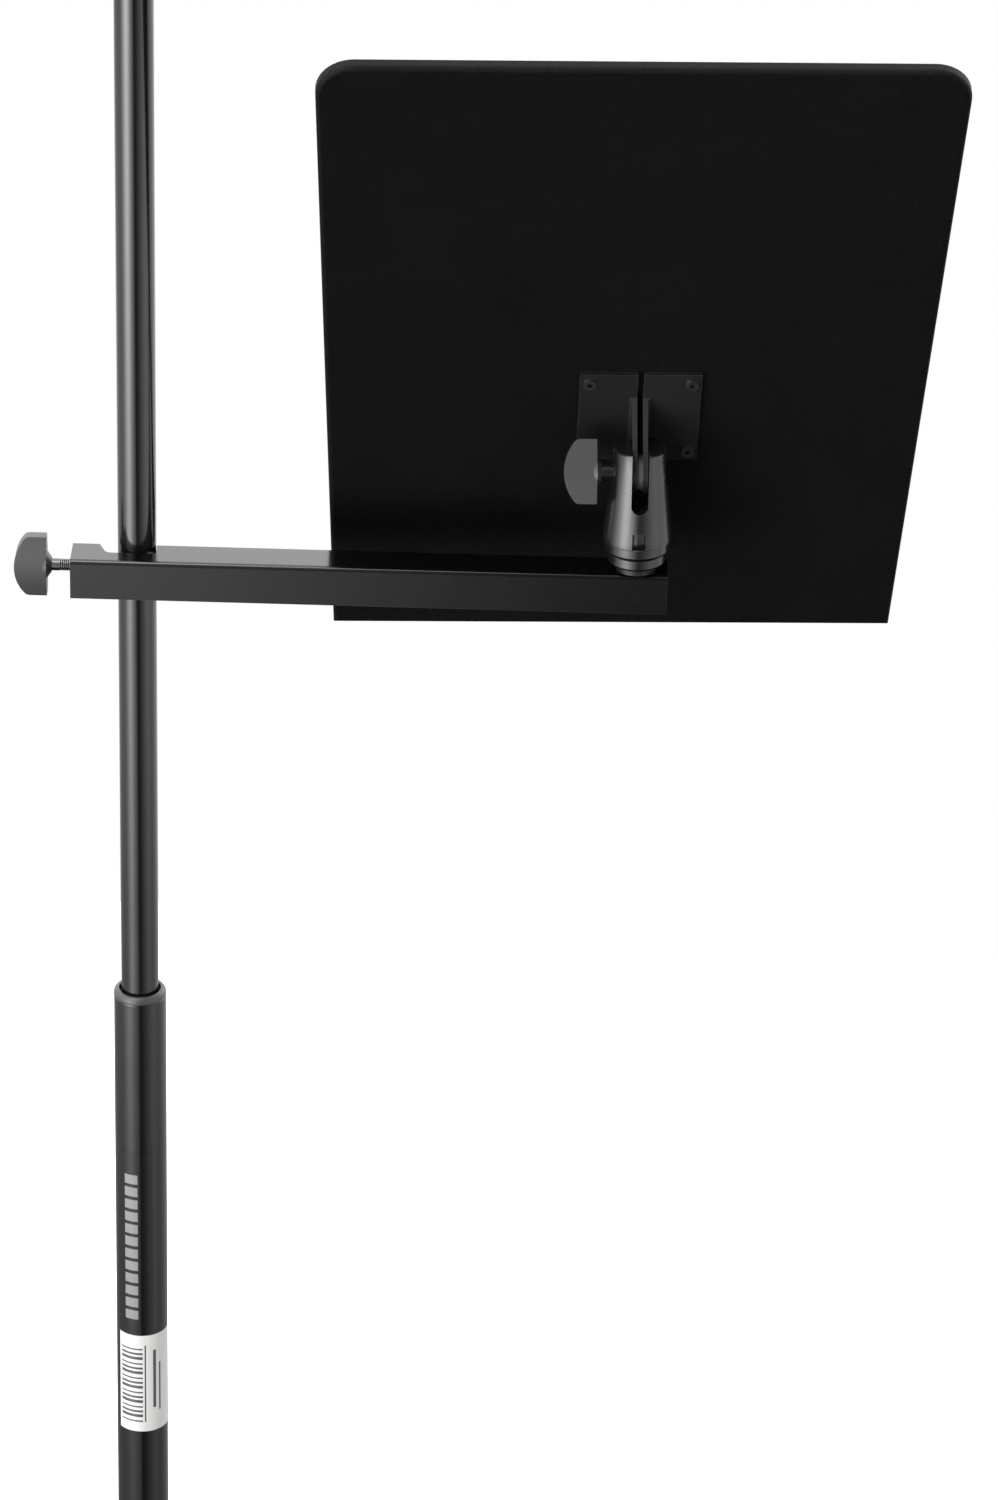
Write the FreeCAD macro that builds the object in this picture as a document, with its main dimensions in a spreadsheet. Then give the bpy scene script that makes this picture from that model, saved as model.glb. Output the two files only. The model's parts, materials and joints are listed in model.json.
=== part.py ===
"""A clamp-on music desk carried on a telescopic floor pole with a round base.

The stand's frame has +Z up and its origin on the floor, under the middle of the base. The
reader sits on the -Y side. The arm runs from the pole towards -X.
"""
import FreeCAD, Part
import math
import os
import re
import Sketcher

Vector = FreeCAD.Vector
Rotation = FreeCAD.Rotation
UP = Vector(0, 0, 1)
RIGHT = Vector(1, 0, 0)
FORWARD = Vector(0, 1, 0)

# Every driving dimension: its name, its value in millimetres or degrees, and what it is.
SIZES = [
    # base
    ("base_radius", 127.0, "outer radius of the cast base"),
    ("base_rim_height", 13.0, "height of the casting at its rim"),
    ("base_rim_land", 24.0, "width of the flat land under the rim"),
    ("base_crown", 11.0, "rise of the casting from the rim to the hub"),
    ("base_shell", 8.0, "thickness of the casting inside the rim"),
    ("base_rim_round", 5.0, "rounding of the rim's top edge"),
    ("base_edge_round", 2.0, "rounding of the base's lower edge and of its hub"),
    ("hub_fillet", 4.0, "fillet where the hub meets the crown"),
    ("hub_radius", 21.0, "radius of the hub that the pole screws into"),
    ("hub_height", 12.0, "height of the hub above the crown"),
    ("base_pad_height", 3.0, "thickness of the rubber sheet under the base"),
    ("foot_washer_height", 1.5, "thickness of the washer between hub and pole"),
    ("foot_nut_flats", 24.0, "width across the flats of the nut under the base"),
    ("foot_nut_height", 6.0, "thickness of the nut under the base"),
    # pole
    ("tube_radius", 11.1125, "outer radius of the lower tube"),
    ("tube_wall", 1.2, "wall of the lower tube"),
    ("tube_shoulder", 0.8, "rounding of the lower tube's top edge"),
    ("collar_top", 840.0, "height of the collar's top face above the floor"),
    ("collar_height", 2.9, "visible height of the collar"),
    ("collar_gap", 0.9625, "radial gap between the shaft and the collar's mouth"),
    ("collar_round", 1.8, "rounding of the collar's outer shoulder"),
    ("bush_length", 30.0, "length of the guide bush inside the lower tube"),
    ("shaft_radius", 7.9375, "outer radius of the upper shaft"),
    ("shaft_wall", 1.2, "wall of the upper shaft"),
    ("shaft_inside", 235.0, "length of shaft hidden in the lower tube"),
    ("shaft_outside", 558.0, "length of shaft standing above the collar"),
    ("running_play", 0.06, "radial clearance of a running fit"),
    ("seat_play", 0.02, "radial clearance of a pressed or glued seat"),
    ("mic_thread_radius", 7.85, "crest radius of the stand thread"),
    ("mic_thread_depth", 0.55, "depth of the stand thread"),
    ("mic_thread_pitch", 0.94, "pitch of the stand thread"),
    ("tip_length", 13.0, "length of the threaded tip"),
    ("plug_length", 22.0, "length of a plug pressed into a tube"),
    # twist clutch inside the lower tube
    ("clutch_length", 30.0, "length of the split sleeve"),
    ("clutch_flange", 2.0, "thickness of the flange above the split sleeve"),
    ("clutch_gap", 0.5, "gap between the clutch parts along the pole"),
    ("clutch_slit", 2.0, "width of a slit in the split sleeve"),
    ("clutch_mouth", 5.2, "inner radius of the sleeve at its narrow end"),
    ("clutch_wall", 1.7125, "wall of the split sleeve at its wide end, with its clearance"),
    ("clutch_taper", 14.0, "length of the sleeve's tapered bore"),
    ("clutch_stud_radius", 4.0, "radius of the clutch stud"),
    ("cone_length", 9.0, "length of the clutch cone"),
    ("cone_play", 0.16, "gap between cone and sleeve"),
    ("clutch_pitch", 1.25, "pitch of the clutch stud"),
    # labels on the lower tube
    ("label_film", 0.12, "thickness of a label"),
    ("decal_top", 283.5, "distance from the arm's top down to the decal"),
    ("decal_length", 91.5, "length of the decal"),
    ("decal_sweep", 78.6, "angle that the decal wraps"),
    ("decal_turn", 39.7, "angle from +X to the decal's first edge"),
    ("sticker_top", 376.0, "distance from the arm's top down to the sticker"),
    ("sticker_length", 49.5, "length of the sticker"),
    ("sticker_sweep", 132.8, "angle that the sticker wraps"),
    ("sticker_turn", 35.9, "angle from +X to the sticker's first edge"),
    # arm
    ("arm_above_collar", 207.8, "height of the arm's top face above the collar"),
    ("arm_past_stud", 12.9, "length of arm past the stud"),
    ("arm_clamp_reach", 26.2, "length of arm on the clamp side of the pole"),
    ("arm_width", 17.2, "width of the arm"),
    ("arm_height", 16.9, "height of the arm"),
    ("arm_sheet", 1.9, "thickness of the arm's sheet"),
    ("arm_bend", 2.2, "outer radius of the arm's bend on the front"),
    ("arm_rear_bend", 0.5, "outer radius of the arm's tight bend on the rear"),
    ("notch_gap", 0.3125, "gap between the shaft and the notch, at its seat and its bottom"),
    ("notch_mouth", 7.4625, "gap between the shaft and the notch's mouth on the clamp side"),
    ("notch_lean", 21.8, "angle that the notch narrows at on the clamp side"),
    ("notch_round", 3.0, "rounding of the notch's corner on the clamp side"),
    ("notch_seat_round", 1.2, "rounding of the notch's corner on the seat side"),
    # clamp screw
    ("screw_radius", 2.5, "crest radius of the clamp screw"),
    ("screw_thread_depth", 0.42, "depth of the clamp and tilt screws' threads"),
    ("screw_pitch", 0.8, "pitch of the clamp screw"),
    ("screw_offset", 4.4, "distance of the screw from the pole axis, across the arm"),
    ("screw_drop", 7.9, "depth of the screw below the arm's top"),
    ("clamp_nut_flats", 7.0, "width across the flats of the welded nut"),
    ("clamp_nut_height", 4.0, "thickness of the welded nut"),
    ("pad_radius", 3.8, "radius of the clamp pad"),
    ("pad_height", 3.4, "thickness of the clamp pad"),
    ("pad_gap", 0.3, "gap between pad and shaft with the screw just slack"),
    ("pad_socket_radius", 1.6, "radius of the socket for the screw's tip"),
    ("pad_socket_depth", 1.8, "depth of the socket for the screw's tip"),
    ("clamp_knob_stand_off", 10.4, "distance from the arm's end to the knob's flat face"),
    # wing knobs
    ("knob_span", 26.4, "span of a wing knob"),
    ("knob_side", 8.2, "length of a wing knob's straight side"),
    ("knob_depth", 13.2, "depth of a wing knob along its axis"),
    ("knob_thickness", 9.4, "thickness of a wing knob in its middle"),
    ("knob_edge", 4.8, "thickness of a wing knob at the ends of its span"),
    ("knob_corner", 2.6, "rounding of a wing knob's outer corners"),
    ("knob_boss_radius", 5.8, "radius of the knob's boss where it leaves the knob"),
    ("knob_boss_wall", 0.5, "wall of the knob's boss round its screw, at its end"),
    ("knob_boss_length", 2.0, "length of the knob's boss"),
    ("knob_socket_depth", 9.0, "depth that a screw is moulded into its knob"),
    # stud and lock ring
    ("stud_from_pole", 203.9, "distance from the pole axis to the stud"),
    ("stud_washer_radius", 8.3, "radius of the washer under the lock ring"),
    ("stud_washer_height", 2.6, "thickness of the washer under the lock ring"),
    ("stud_height", 24.0, "height of the stud above the arm"),
    ("stud_shank_radius", 3.0, "radius of the stud's shank through the arm"),
    ("stud_nut_flats", 10.0, "width across the flats of the stud's nut"),
    ("stud_nut_height", 5.0, "thickness of the stud's nut"),
    ("lock_ring_radius", 11.7, "outer radius of the lock ring"),
    ("lock_ring_height", 5.5, "height of the lock ring"),
    ("lock_ring_chamfer", 1.4, "chamfer under the lock ring"),
    ("ring_gap", 0.35, "gap between parts that turn past each other"),
    # swivel head
    ("head_turn", 3.0, "angle that the head is turned on its stud"),
    ("head_bottom", 13.9, "height of the head's lower edge above the arm"),
    ("head_top", 54.0, "height of the head's top above the arm"),
    ("head_radius", 10.8, "radius of the head's neck"),
    ("head_foot_radius", 13.9, "radius of the head's foot"),
    ("head_cone_top", 50.0, "height where the head's cone meets its neck"),
    ("head_cone_foot", 15.9, "height where the head's cone meets its foot"),
    ("head_bore", 10.2, "radius of the head's inner bore"),
    ("head_bore_top", 26.0, "height of the inner bore's roof above the arm"),
    ("slot_play", 0.35, "gap between a bracket fin and the wall of the head's slot"),
    ("slot_floor", 29.3, "height of the slot's floor above the arm"),
    ("window_width", 5.4, "width of the window in the head's foot"),
    ("window_height", 7.0, "height of the window in the head's foot"),
    ("knurl_radius", 13.1, "radius of the knurled ring"),
    ("knurl_height", 4.1, "height of the knurled ring"),
    ("insert_neck", 9.9, "radius of the threaded insert"),
    # tilt pivot
    ("pivot_height", 42.8, "height of the tilt axis above the arm"),
    ("tilt_screw_radius", 3.0, "crest radius of the tilt screw"),
    ("tilt_screw_pitch", 1.0, "pitch of the tilt screw"),
    ("tilt_hole_play", 0.08, "radial clearance round the tilt screw"),
    ("tilt_washer_wall", 0.65, "wall of the long washer under the tilt knob"),
    ("tilt_washer_height", 3.6, "length of the washer under the tilt knob"),
    ("spot_face_play", 0.5, "how far the head's spot face reaches past the washer"),
    ("tilt_nut_flats", 10.0, "width across the flats of the tilt nut"),
    ("tilt_nut_height", 4.2, "thickness of the tilt nut"),
    ("tilt_knob_turn", 25.0, "angle that the tilt knob's wings are turned"),
    # desk bracket
    ("desk_tilt", 20.2, "angle that the desk leans back"),
    ("desk_offset", 20.2, "distance from the tilt axis to the desk's back"),
    ("bracket_sheet", 1.9, "thickness of the bracket plates"),
    ("fin_inner", 1.2, "distance from the middle to a fin's inner face"),
    ("flange_half_width", 24.6, "distance from the middle to a bracket's outer edge"),
    ("flange_top", 36.6, "height of the bracket's top edge above the tilt axis"),
    ("flange_bottom", 11.1, "depth of the bracket's lower edge below the tilt axis"),
    ("fin_top", 25.1, "height of the fin's root above the tilt axis"),
    ("fin_nose", 8.6, "radius of the fin's nose round the tilt axis"),
    ("bracket_bend", 1.5, "inner radius of the bracket's bend"),
    ("rivet_x", 20.6, "distance of the rivets from the middle"),
    ("rivet_upper", 31.2, "height of the upper rivets above the tilt axis"),
    ("rivet_lower", 6.4, "depth of the lower rivets below the tilt axis"),
    ("rivet_head_radius", 2.65, "radius of a rivet's head"),
    ("rivet_head_height", 0.9, "height of a rivet's head"),
    ("rivet_shank_radius", 1.6, "radius of a rivet's shank"),
    ("rivet_tail_radius", 2.25, "radius of a rivet's set tail"),
    ("rivet_tail_height", 1.2, "height of a rivet's set tail"),
    ("rivet_hole_radius", 0.95, "radius of the hole in a rivet's head"),
    # desk
    ("desk_shift", 5.7, "sideways shift of the desk towards the pole"),
    ("desk_top_width", 254.5, "width of the desk at its top edge"),
    ("desk_bottom_width", 232.8, "width of the desk at its bottom edge"),
    ("desk_above_pivot", 197.6, "height of the desk above the tilt axis"),
    ("desk_below_pivot", 110.7, "depth of the desk below the tilt axis"),
    ("desk_sheet", 1.2, "thickness of the desk's sheet"),
    ("desk_corner", 15.0, "radius of the desk's top corners"),
    ("desk_rim", 5.0, "depth of the desk's turned rim"),
    ("desk_bend", 2.0, "outer radius of the desk's bends"),
    ("ledge_depth", 44.0, "depth of the ledge, measured from the desk's back"),
    ("ledge_lip", 10.0, "height of the lip along the ledge"),
]

doc = FreeCAD.newDocument("music_stand")
sheet = doc.addObject("Spreadsheet::Sheet", "Sizes")
for row, (alias, value, meaning) in enumerate(SIZES, 1):
    sheet.set("A%d" % row, meaning)
    sheet.set("B%d" % row, str(value))
    sheet.setAlias("B%d" % row, alias)
doc.recompute()

NAMES = {alias for alias, _, _ in SIZES}
PIECES = []


def bound(text):
    """An expression in the sheet's names, as FreeCAD's expression engine reads it."""
    return re.sub(r"[a-z_]+", lambda m: "Sizes." + m.group() if m.group() in NAMES else m.group(), text)


def size(text):
    """The value that an expression in the sheet's names has now."""
    return float(sheet.evalExpression(bound(text)))


# Heights and places that several sub-parts share, in the sheet's names.
ARM_TOP = "(collar_top + arm_above_collar)"
ARM_LENGTH = "(arm_clamp_reach + stud_from_pole + arm_past_stud)"
NOTCH_EDGE = "(shaft_radius + notch_gap)"
STUD_Y = "(arm_width / 2)"
BASE_TOP = "(base_pad_height + base_rim_height + base_crown + hub_height)"
TUBE_BOTTOM = "(" + BASE_TOP + " + foot_washer_height)"
TUBE_BORE = "(tube_radius - tube_wall)"
CLUTCH_FLARE = "(tube_radius - tube_wall - clutch_wall)"
SHAFT_BOTTOM = "(collar_top - shaft_inside)"
SHAFT_TOP = "(collar_top + shaft_outside)"
SHAFT_BORE = "(shaft_radius - shaft_wall)"
SCREW_Z = "(" + ARM_TOP + " - screw_drop)"
FIN_OUTER = "(fin_inner + bracket_sheet)"
SLOT_HALF = "(" + FIN_OUTER + " + slot_play)"
WASHER_RADIUS = "(tilt_screw_radius + tilt_washer_wall)"


def frame_at(x, y, z, rotation=None):
    """A placement whose origin is given in the sheet's names."""
    return Vector(size(x), size(y), size(z)), (x, y, z), rotation or Rotation()


def put(item, where):
    """Places an object and binds its origin to the sheet."""
    base, names, rotation = where
    item.Placement = FreeCAD.Placement(base, rotation)
    for axis, text in zip("xyz", names):
        item.setExpression("Placement.Base." + axis, bound(text))


POLE = ("0", "0", "0")
AT_FLOOR = frame_at(*POLE)
AT_ARM = frame_at("0", "0", ARM_TOP)
HEAD_TURN = Rotation(UP, size("head_turn"))
AT_STUD = frame_at("-stud_from_pole", STUD_Y, ARM_TOP)
AT_HEAD = frame_at("-stud_from_pole", STUD_Y, ARM_TOP, HEAD_TURN)
PIVOT = ("-stud_from_pole", STUD_Y, ARM_TOP + " + pivot_height")
AT_DESK = frame_at(*PIVOT, HEAD_TURN.multiply(Rotation(RIGHT, -size("desk_tilt"))))
ALONG_X = Rotation(FORWARD, 90)
AT_CLAMP = frame_at("0", "screw_offset", SCREW_Z, ALONG_X)
AT_TILT = frame_at(*PIVOT, HEAD_TURN.multiply(ALONG_X))


def piece(item, where):
    """Places a finished sub-part and puts it on the list to write."""
    put(item, where)
    PIECES.append(item)
    return item


def new_body(label):
    """An empty PartDesign body."""
    body = doc.addObject("PartDesign::Body", label)
    body.Label = label
    return body


def origin_part(body, role):
    """One of the body's own origin planes or axes."""
    return next(f for f in body.Origin.OriginFeatures if f.Role == role)


def arc_between(start, end, radius, turn):
    """The short arc from start to end: turn is +1 anticlockwise, -1 clockwise."""
    middle = (start + end) / 2
    half = (end - start).Length / 2
    side = Vector(start.y - end.y, end.x - start.x, 0) / (2 * half)
    rise = math.sqrt(max(radius * radius - half * half, 0.0))
    centre = middle + side * rise * turn
    first, last = (start, end) if turn > 0 else (end, start)
    angles = [math.atan2(p.y - centre.y, p.x - centre.x) for p in (first, last)]
    return Part.ArcOfCircle(Part.Circle(centre, UP, radius), *angles)


def outline(body, name, plane, points, height="0"):
    """A closed sketch on an origin plane, raised by height along the plane's normal.

    Each point is (x, y), joined to the one before by a line, or (x, y, radius, turn), joined
    by an arc. Every number is an expression in the sheet's names.
    """
    sketch = body.newObject("Sketcher::SketchObject", name)
    sketch.AttachmentSupport = (origin_part(body, plane), "")
    sketch.MapMode = "FlatFace"
    sketch.setExpression("AttachmentOffset.Base.z", bound(height))
    spots = [Vector(size(p[0]), size(p[1]), 0) for p in points]
    joins = []
    for i, p in enumerate(points):
        start, end = spots[i - 1], spots[i]
        if len(p) == 2:
            sketch.addGeometry(Part.LineSegment(start, end))
            joins.append((1, 2))
        else:
            sketch.addGeometry(arc_between(start, end, size(p[2]), p[3]))
            joins.append((1, 2) if p[3] > 0 else (2, 1))
    rules = []
    for i, p in enumerate(points):
        after = (i + 1) % len(points)
        rules.append(Sketcher.Constraint("Coincident", i, joins[i][1], after, joins[after][0]))
    sketch.addConstraint(rules)
    for i, p in enumerate(points):
        for kind, letter, text, value in (
            ("DistanceX", "x", p[0], spots[i].x),
            ("DistanceY", "y", p[1], spots[i].y),
        ):
            number = sketch.addConstraint(Sketcher.Constraint(kind, -1, 1, i, joins[i][1], value))
            sketch.renameConstraint(number, "%s%d" % (letter, i))
            sketch.setExpression("Constraints.%s%d" % (letter, i), bound(text))
        if len(p) == 4:
            number = sketch.addConstraint(Sketcher.Constraint("Radius", i, size(p[2])))
            sketch.renameConstraint(number, "r%d" % i)
            sketch.setExpression("Constraints.r%d" % i, bound(p[2]))
    return sketch


def circle(body, name, plane, x, y, radius, height="0"):
    """A sketch of one circle."""
    sketch = body.newObject("Sketcher::SketchObject", name)
    sketch.AttachmentSupport = (origin_part(body, plane), "")
    sketch.MapMode = "FlatFace"
    sketch.setExpression("AttachmentOffset.Base.z", bound(height))
    sketch.addGeometry(Part.Circle(Vector(size(x), size(y), 0), UP, size(radius)))
    for kind, letter, text in (("DistanceX", "x", x), ("DistanceY", "y", y)):
        number = sketch.addConstraint(Sketcher.Constraint(kind, -1, 1, 0, 3, size(text)))
        sketch.renameConstraint(number, letter)
        sketch.setExpression("Constraints." + letter, bound(text))
    number = sketch.addConstraint(Sketcher.Constraint("Radius", 0, size(radius)))
    sketch.renameConstraint(number, "r")
    sketch.setExpression("Constraints.r", bound(radius))
    return sketch


def pad(body, sketch, length, reverse=False, both_ways=False):
    """Pads a sketch along its normal, the other way, or half each way."""
    feature = body.newObject("PartDesign::Pad", sketch.Name + "_pad")
    feature.Profile = sketch
    feature.setExpression("Length", bound(length))
    feature.Reversed = reverse
    feature.Midplane = both_ways
    doc.recompute()
    return feature


def pocket(body, sketch, length, reverse=False, both_ways=False):
    """Cuts a sketch into the body and makes sure that it took something away."""
    before = body.Shape.Volume
    feature = body.newObject("PartDesign::Pocket", sketch.Name + "_cut")
    feature.Profile = sketch
    feature.setExpression("Length", bound(length))
    feature.Reversed = reverse
    feature.Midplane = both_ways
    doc.recompute()
    if body.Shape.Volume > before - 1e-3:
        raise RuntimeError("%s cut nothing" % feature.Name)
    return feature


def turned(label, points, where, angle="360"):
    """A body turned about its own Z axis from a profile in radius and height."""
    body = new_body(label)
    sketch = outline(body, label + "_profile", "XZ_Plane", points)
    feature = body.newObject("PartDesign::Revolution", label + "_turning")
    feature.Profile = sketch
    feature.ReferenceAxis = (sketch, ["V_Axis"])
    feature.setExpression("Angle", bound(angle))
    doc.recompute()
    return piece(body, where)


def ring(label, inner, outer, low, high, where):
    """A plain ring between two radii and two heights."""
    corners = [(inner, low), (outer, low), (outer, high), (inner, high)]
    return turned(label, corners, where)


def hexagon(flats, first, x="0", y="0"):
    """The corners of a hexagon about a point, with its first corner at an angle in degrees."""
    corners = []
    for k in range(6):
        reach = "(%s) / 2 / cos(30 deg)" % flats
        angle = "%d deg" % (60 * k + first)
        corners.append(("%s + %s * cos(%s)" % (x, reach, angle), "%s + %s * sin(%s)" % (y, reach, angle)))
    return corners


def hex_nut(label, flats, low, thickness, bore, where, first=30):
    """A hexagonal nut with a plain bore."""
    body = new_body(label)
    pad(body, outline(body, label + "_hexagon", "XY_Plane", hexagon(flats, first), low), thickness)
    hole = circle(body, label + "_bore", "XY_Plane", "0", "0", bore, low)
    pocket(body, hole, thickness, reverse=True)
    return piece(body, where)


def thread_rings(body, radius, depth, pitch, start, count):
    """Cuts a row of closed V grooves, which stand for a screw thread."""
    half = "(%s) * 0.42" % pitch
    corners = [
        ("%s - %s" % (radius, depth), start),
        ("%s + 0.2" % radius, "%s - %s" % (start, half)),
        ("%s + 0.2" % radius, "%s + %s" % (start, half)),
    ]
    sketch = outline(body, body.Name + "_groove_profile", "XZ_Plane", corners)
    before = body.Shape.Volume
    groove = body.newObject("PartDesign::Groove", body.Name + "_groove")
    groove.Profile = sketch
    groove.ReferenceAxis = (sketch, ["V_Axis"])
    groove.Angle = 360
    doc.recompute()
    rows = body.newObject("PartDesign::LinearPattern", body.Name + "_thread")
    rows.Originals = [groove]
    rows.Direction = (sketch, ["V_Axis"])
    rows.Occurrences = count
    rows.setExpression("Length", bound("(%s) * %d" % (pitch, count - 1)))
    body.Tip = rows
    doc.recompute()
    if body.Shape.Volume > before - 1e-3:
        raise RuntimeError("%s has no thread" % body.Label)


def turns_in(length, pitch):
    """How many thread rings fit in a length."""
    return int(size(length) / size(pitch))


def edges_where(shape, test):
    """The names of the edges whose ends and middle all pass a test."""
    names = []
    for number, edge in enumerate(shape.Edges, 1):
        spots = [edge.valueAt(edge.FirstParameter + t * (edge.LastParameter - edge.FirstParameter))
                 for t in (0.0, 0.5, 1.0)]
        if all(test(p) for p in spots):
            names.append("Edge%d" % number)
    return names


def round_edges(body, name, radius, test):
    """Fillets the edges of the body's present shape that pass a test."""
    base = body.Tip
    names = edges_where(base.Shape, test)
    if not names:
        raise RuntimeError("%s found no edge" % name)
    feature = body.newObject("PartDesign::Fillet", name)
    feature.Base = (base, names)
    feature.setExpression("Radius", bound(radius))
    doc.recompute()
    return feature


def near(a, b):
    """True where two lengths agree."""
    return abs(a - b) < 1e-3


def make_base():
    """The cast base with the rubber sheet under it."""
    under = "base_pad_height"
    rim_top = under + " + base_rim_height"
    crown = rim_top + " + base_crown"
    turned("base_casting", [
        ("mic_thread_radius + seat_play", crown + " - base_shell"),
        ("hub_radius", crown + " - base_shell"),
        ("base_radius - base_rim_land", rim_top + " - base_shell"),
        ("base_radius - base_rim_land", under),
        ("base_radius - base_edge_round", under),
        ("base_radius", under + " + base_edge_round", "base_edge_round", 1),
        ("base_radius", rim_top + " - base_rim_round"),
        ("base_radius - base_rim_round", rim_top, "base_rim_round", 1),
        ("hub_radius + hub_fillet", crown),
        ("hub_radius", crown + " + hub_fillet", "hub_fillet", -1),
        ("hub_radius", crown + " + hub_height - base_edge_round"),
        ("hub_radius - base_edge_round", crown + " + hub_height", "base_edge_round", 1),
        ("mic_thread_radius + seat_play", crown + " + hub_height"),
    ], AT_FLOOR)
    turned("base_pad", [
        ("0", "0"),
        ("base_radius - base_edge_round", "0"),
        ("base_radius - base_edge_round", under),
        ("0", under),
    ], AT_FLOOR)


def group(label, items):
    """One node made of several separate solids."""
    compound = doc.addObject("Part::Compound", label)
    compound.Label = label
    compound.Links = items
    doc.recompute()
    PIECES.append(compound)
    return compound


def make_pole():
    """The lower tube with its foot, collar, bush and labels."""
    stub_bottom = BASE_TOP + " - hub_height - base_shell - foot_nut_height - 2"
    foot = turned("tube_foot", [
        ("0", stub_bottom),
        ("mic_thread_radius", stub_bottom),
        ("mic_thread_radius", TUBE_BOTTOM + " - 0.3"),
        (TUBE_BORE + " - seat_play", TUBE_BOTTOM + " - 0.3"),
        (TUBE_BORE + " - seat_play", TUBE_BOTTOM + " + plug_length"),
        ("0", TUBE_BOTTOM + " + plug_length"),
    ], AT_FLOOR)
    thread_rings(foot, "mic_thread_radius", "mic_thread_depth", "mic_thread_pitch",
                 stub_bottom + " + mic_thread_pitch",
                 turns_in("hub_height + base_shell + foot_nut_height", "mic_thread_pitch"))
    ring("foot_washer", "mic_thread_radius + seat_play", "tube_radius + 2", BASE_TOP,
         BASE_TOP + " + foot_washer_height - 0.3", AT_FLOOR)
    hex_nut("foot_nut", "foot_nut_flats", BASE_TOP + " - hub_height - base_shell - foot_nut_height",
            "foot_nut_height", "mic_thread_radius + seat_play", AT_FLOOR)
    tube_top = "(collar_top - collar_height)"
    turned("lower_tube", [
        (TUBE_BORE, TUBE_BOTTOM),
        ("tube_radius", TUBE_BOTTOM),
        ("tube_radius", tube_top + " - tube_shoulder"),
        ("tube_radius - tube_shoulder", tube_top, "tube_shoulder", 1),
        (TUBE_BORE, tube_top),
    ], AT_FLOOR)
    mouth = "shaft_radius + collar_gap"
    turned("collar_ring", [
        (mouth, tube_top),
        ("tube_radius", tube_top),
        ("tube_radius", "collar_top - collar_round"),
        ("tube_radius - collar_round", "collar_top", "collar_round", 1),
        (mouth, "collar_top"),
    ], AT_FLOOR)
    ring("guide_bush", "shaft_radius + running_play", TUBE_BORE + " - seat_play",
         tube_top + " - bush_length", tube_top, AT_FLOOR)
    for label, first, length, sweep, turn in (
        ("tube_decal", "decal_top", "decal_length", "decal_sweep", "decal_turn"),
        ("tube_sticker", "sticker_top", "sticker_length", "sticker_sweep", "sticker_turn"),
    ):
        high = "%s - %s" % (ARM_TOP, first)
        turned(label, [
            ("tube_radius", high + " - " + length),
            ("tube_radius + label_film", high + " - " + length),
            ("tube_radius + label_film", high),
            ("tube_radius", high),
        ], frame_at(*POLE, Rotation(UP, size(turn))), sweep)


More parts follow.
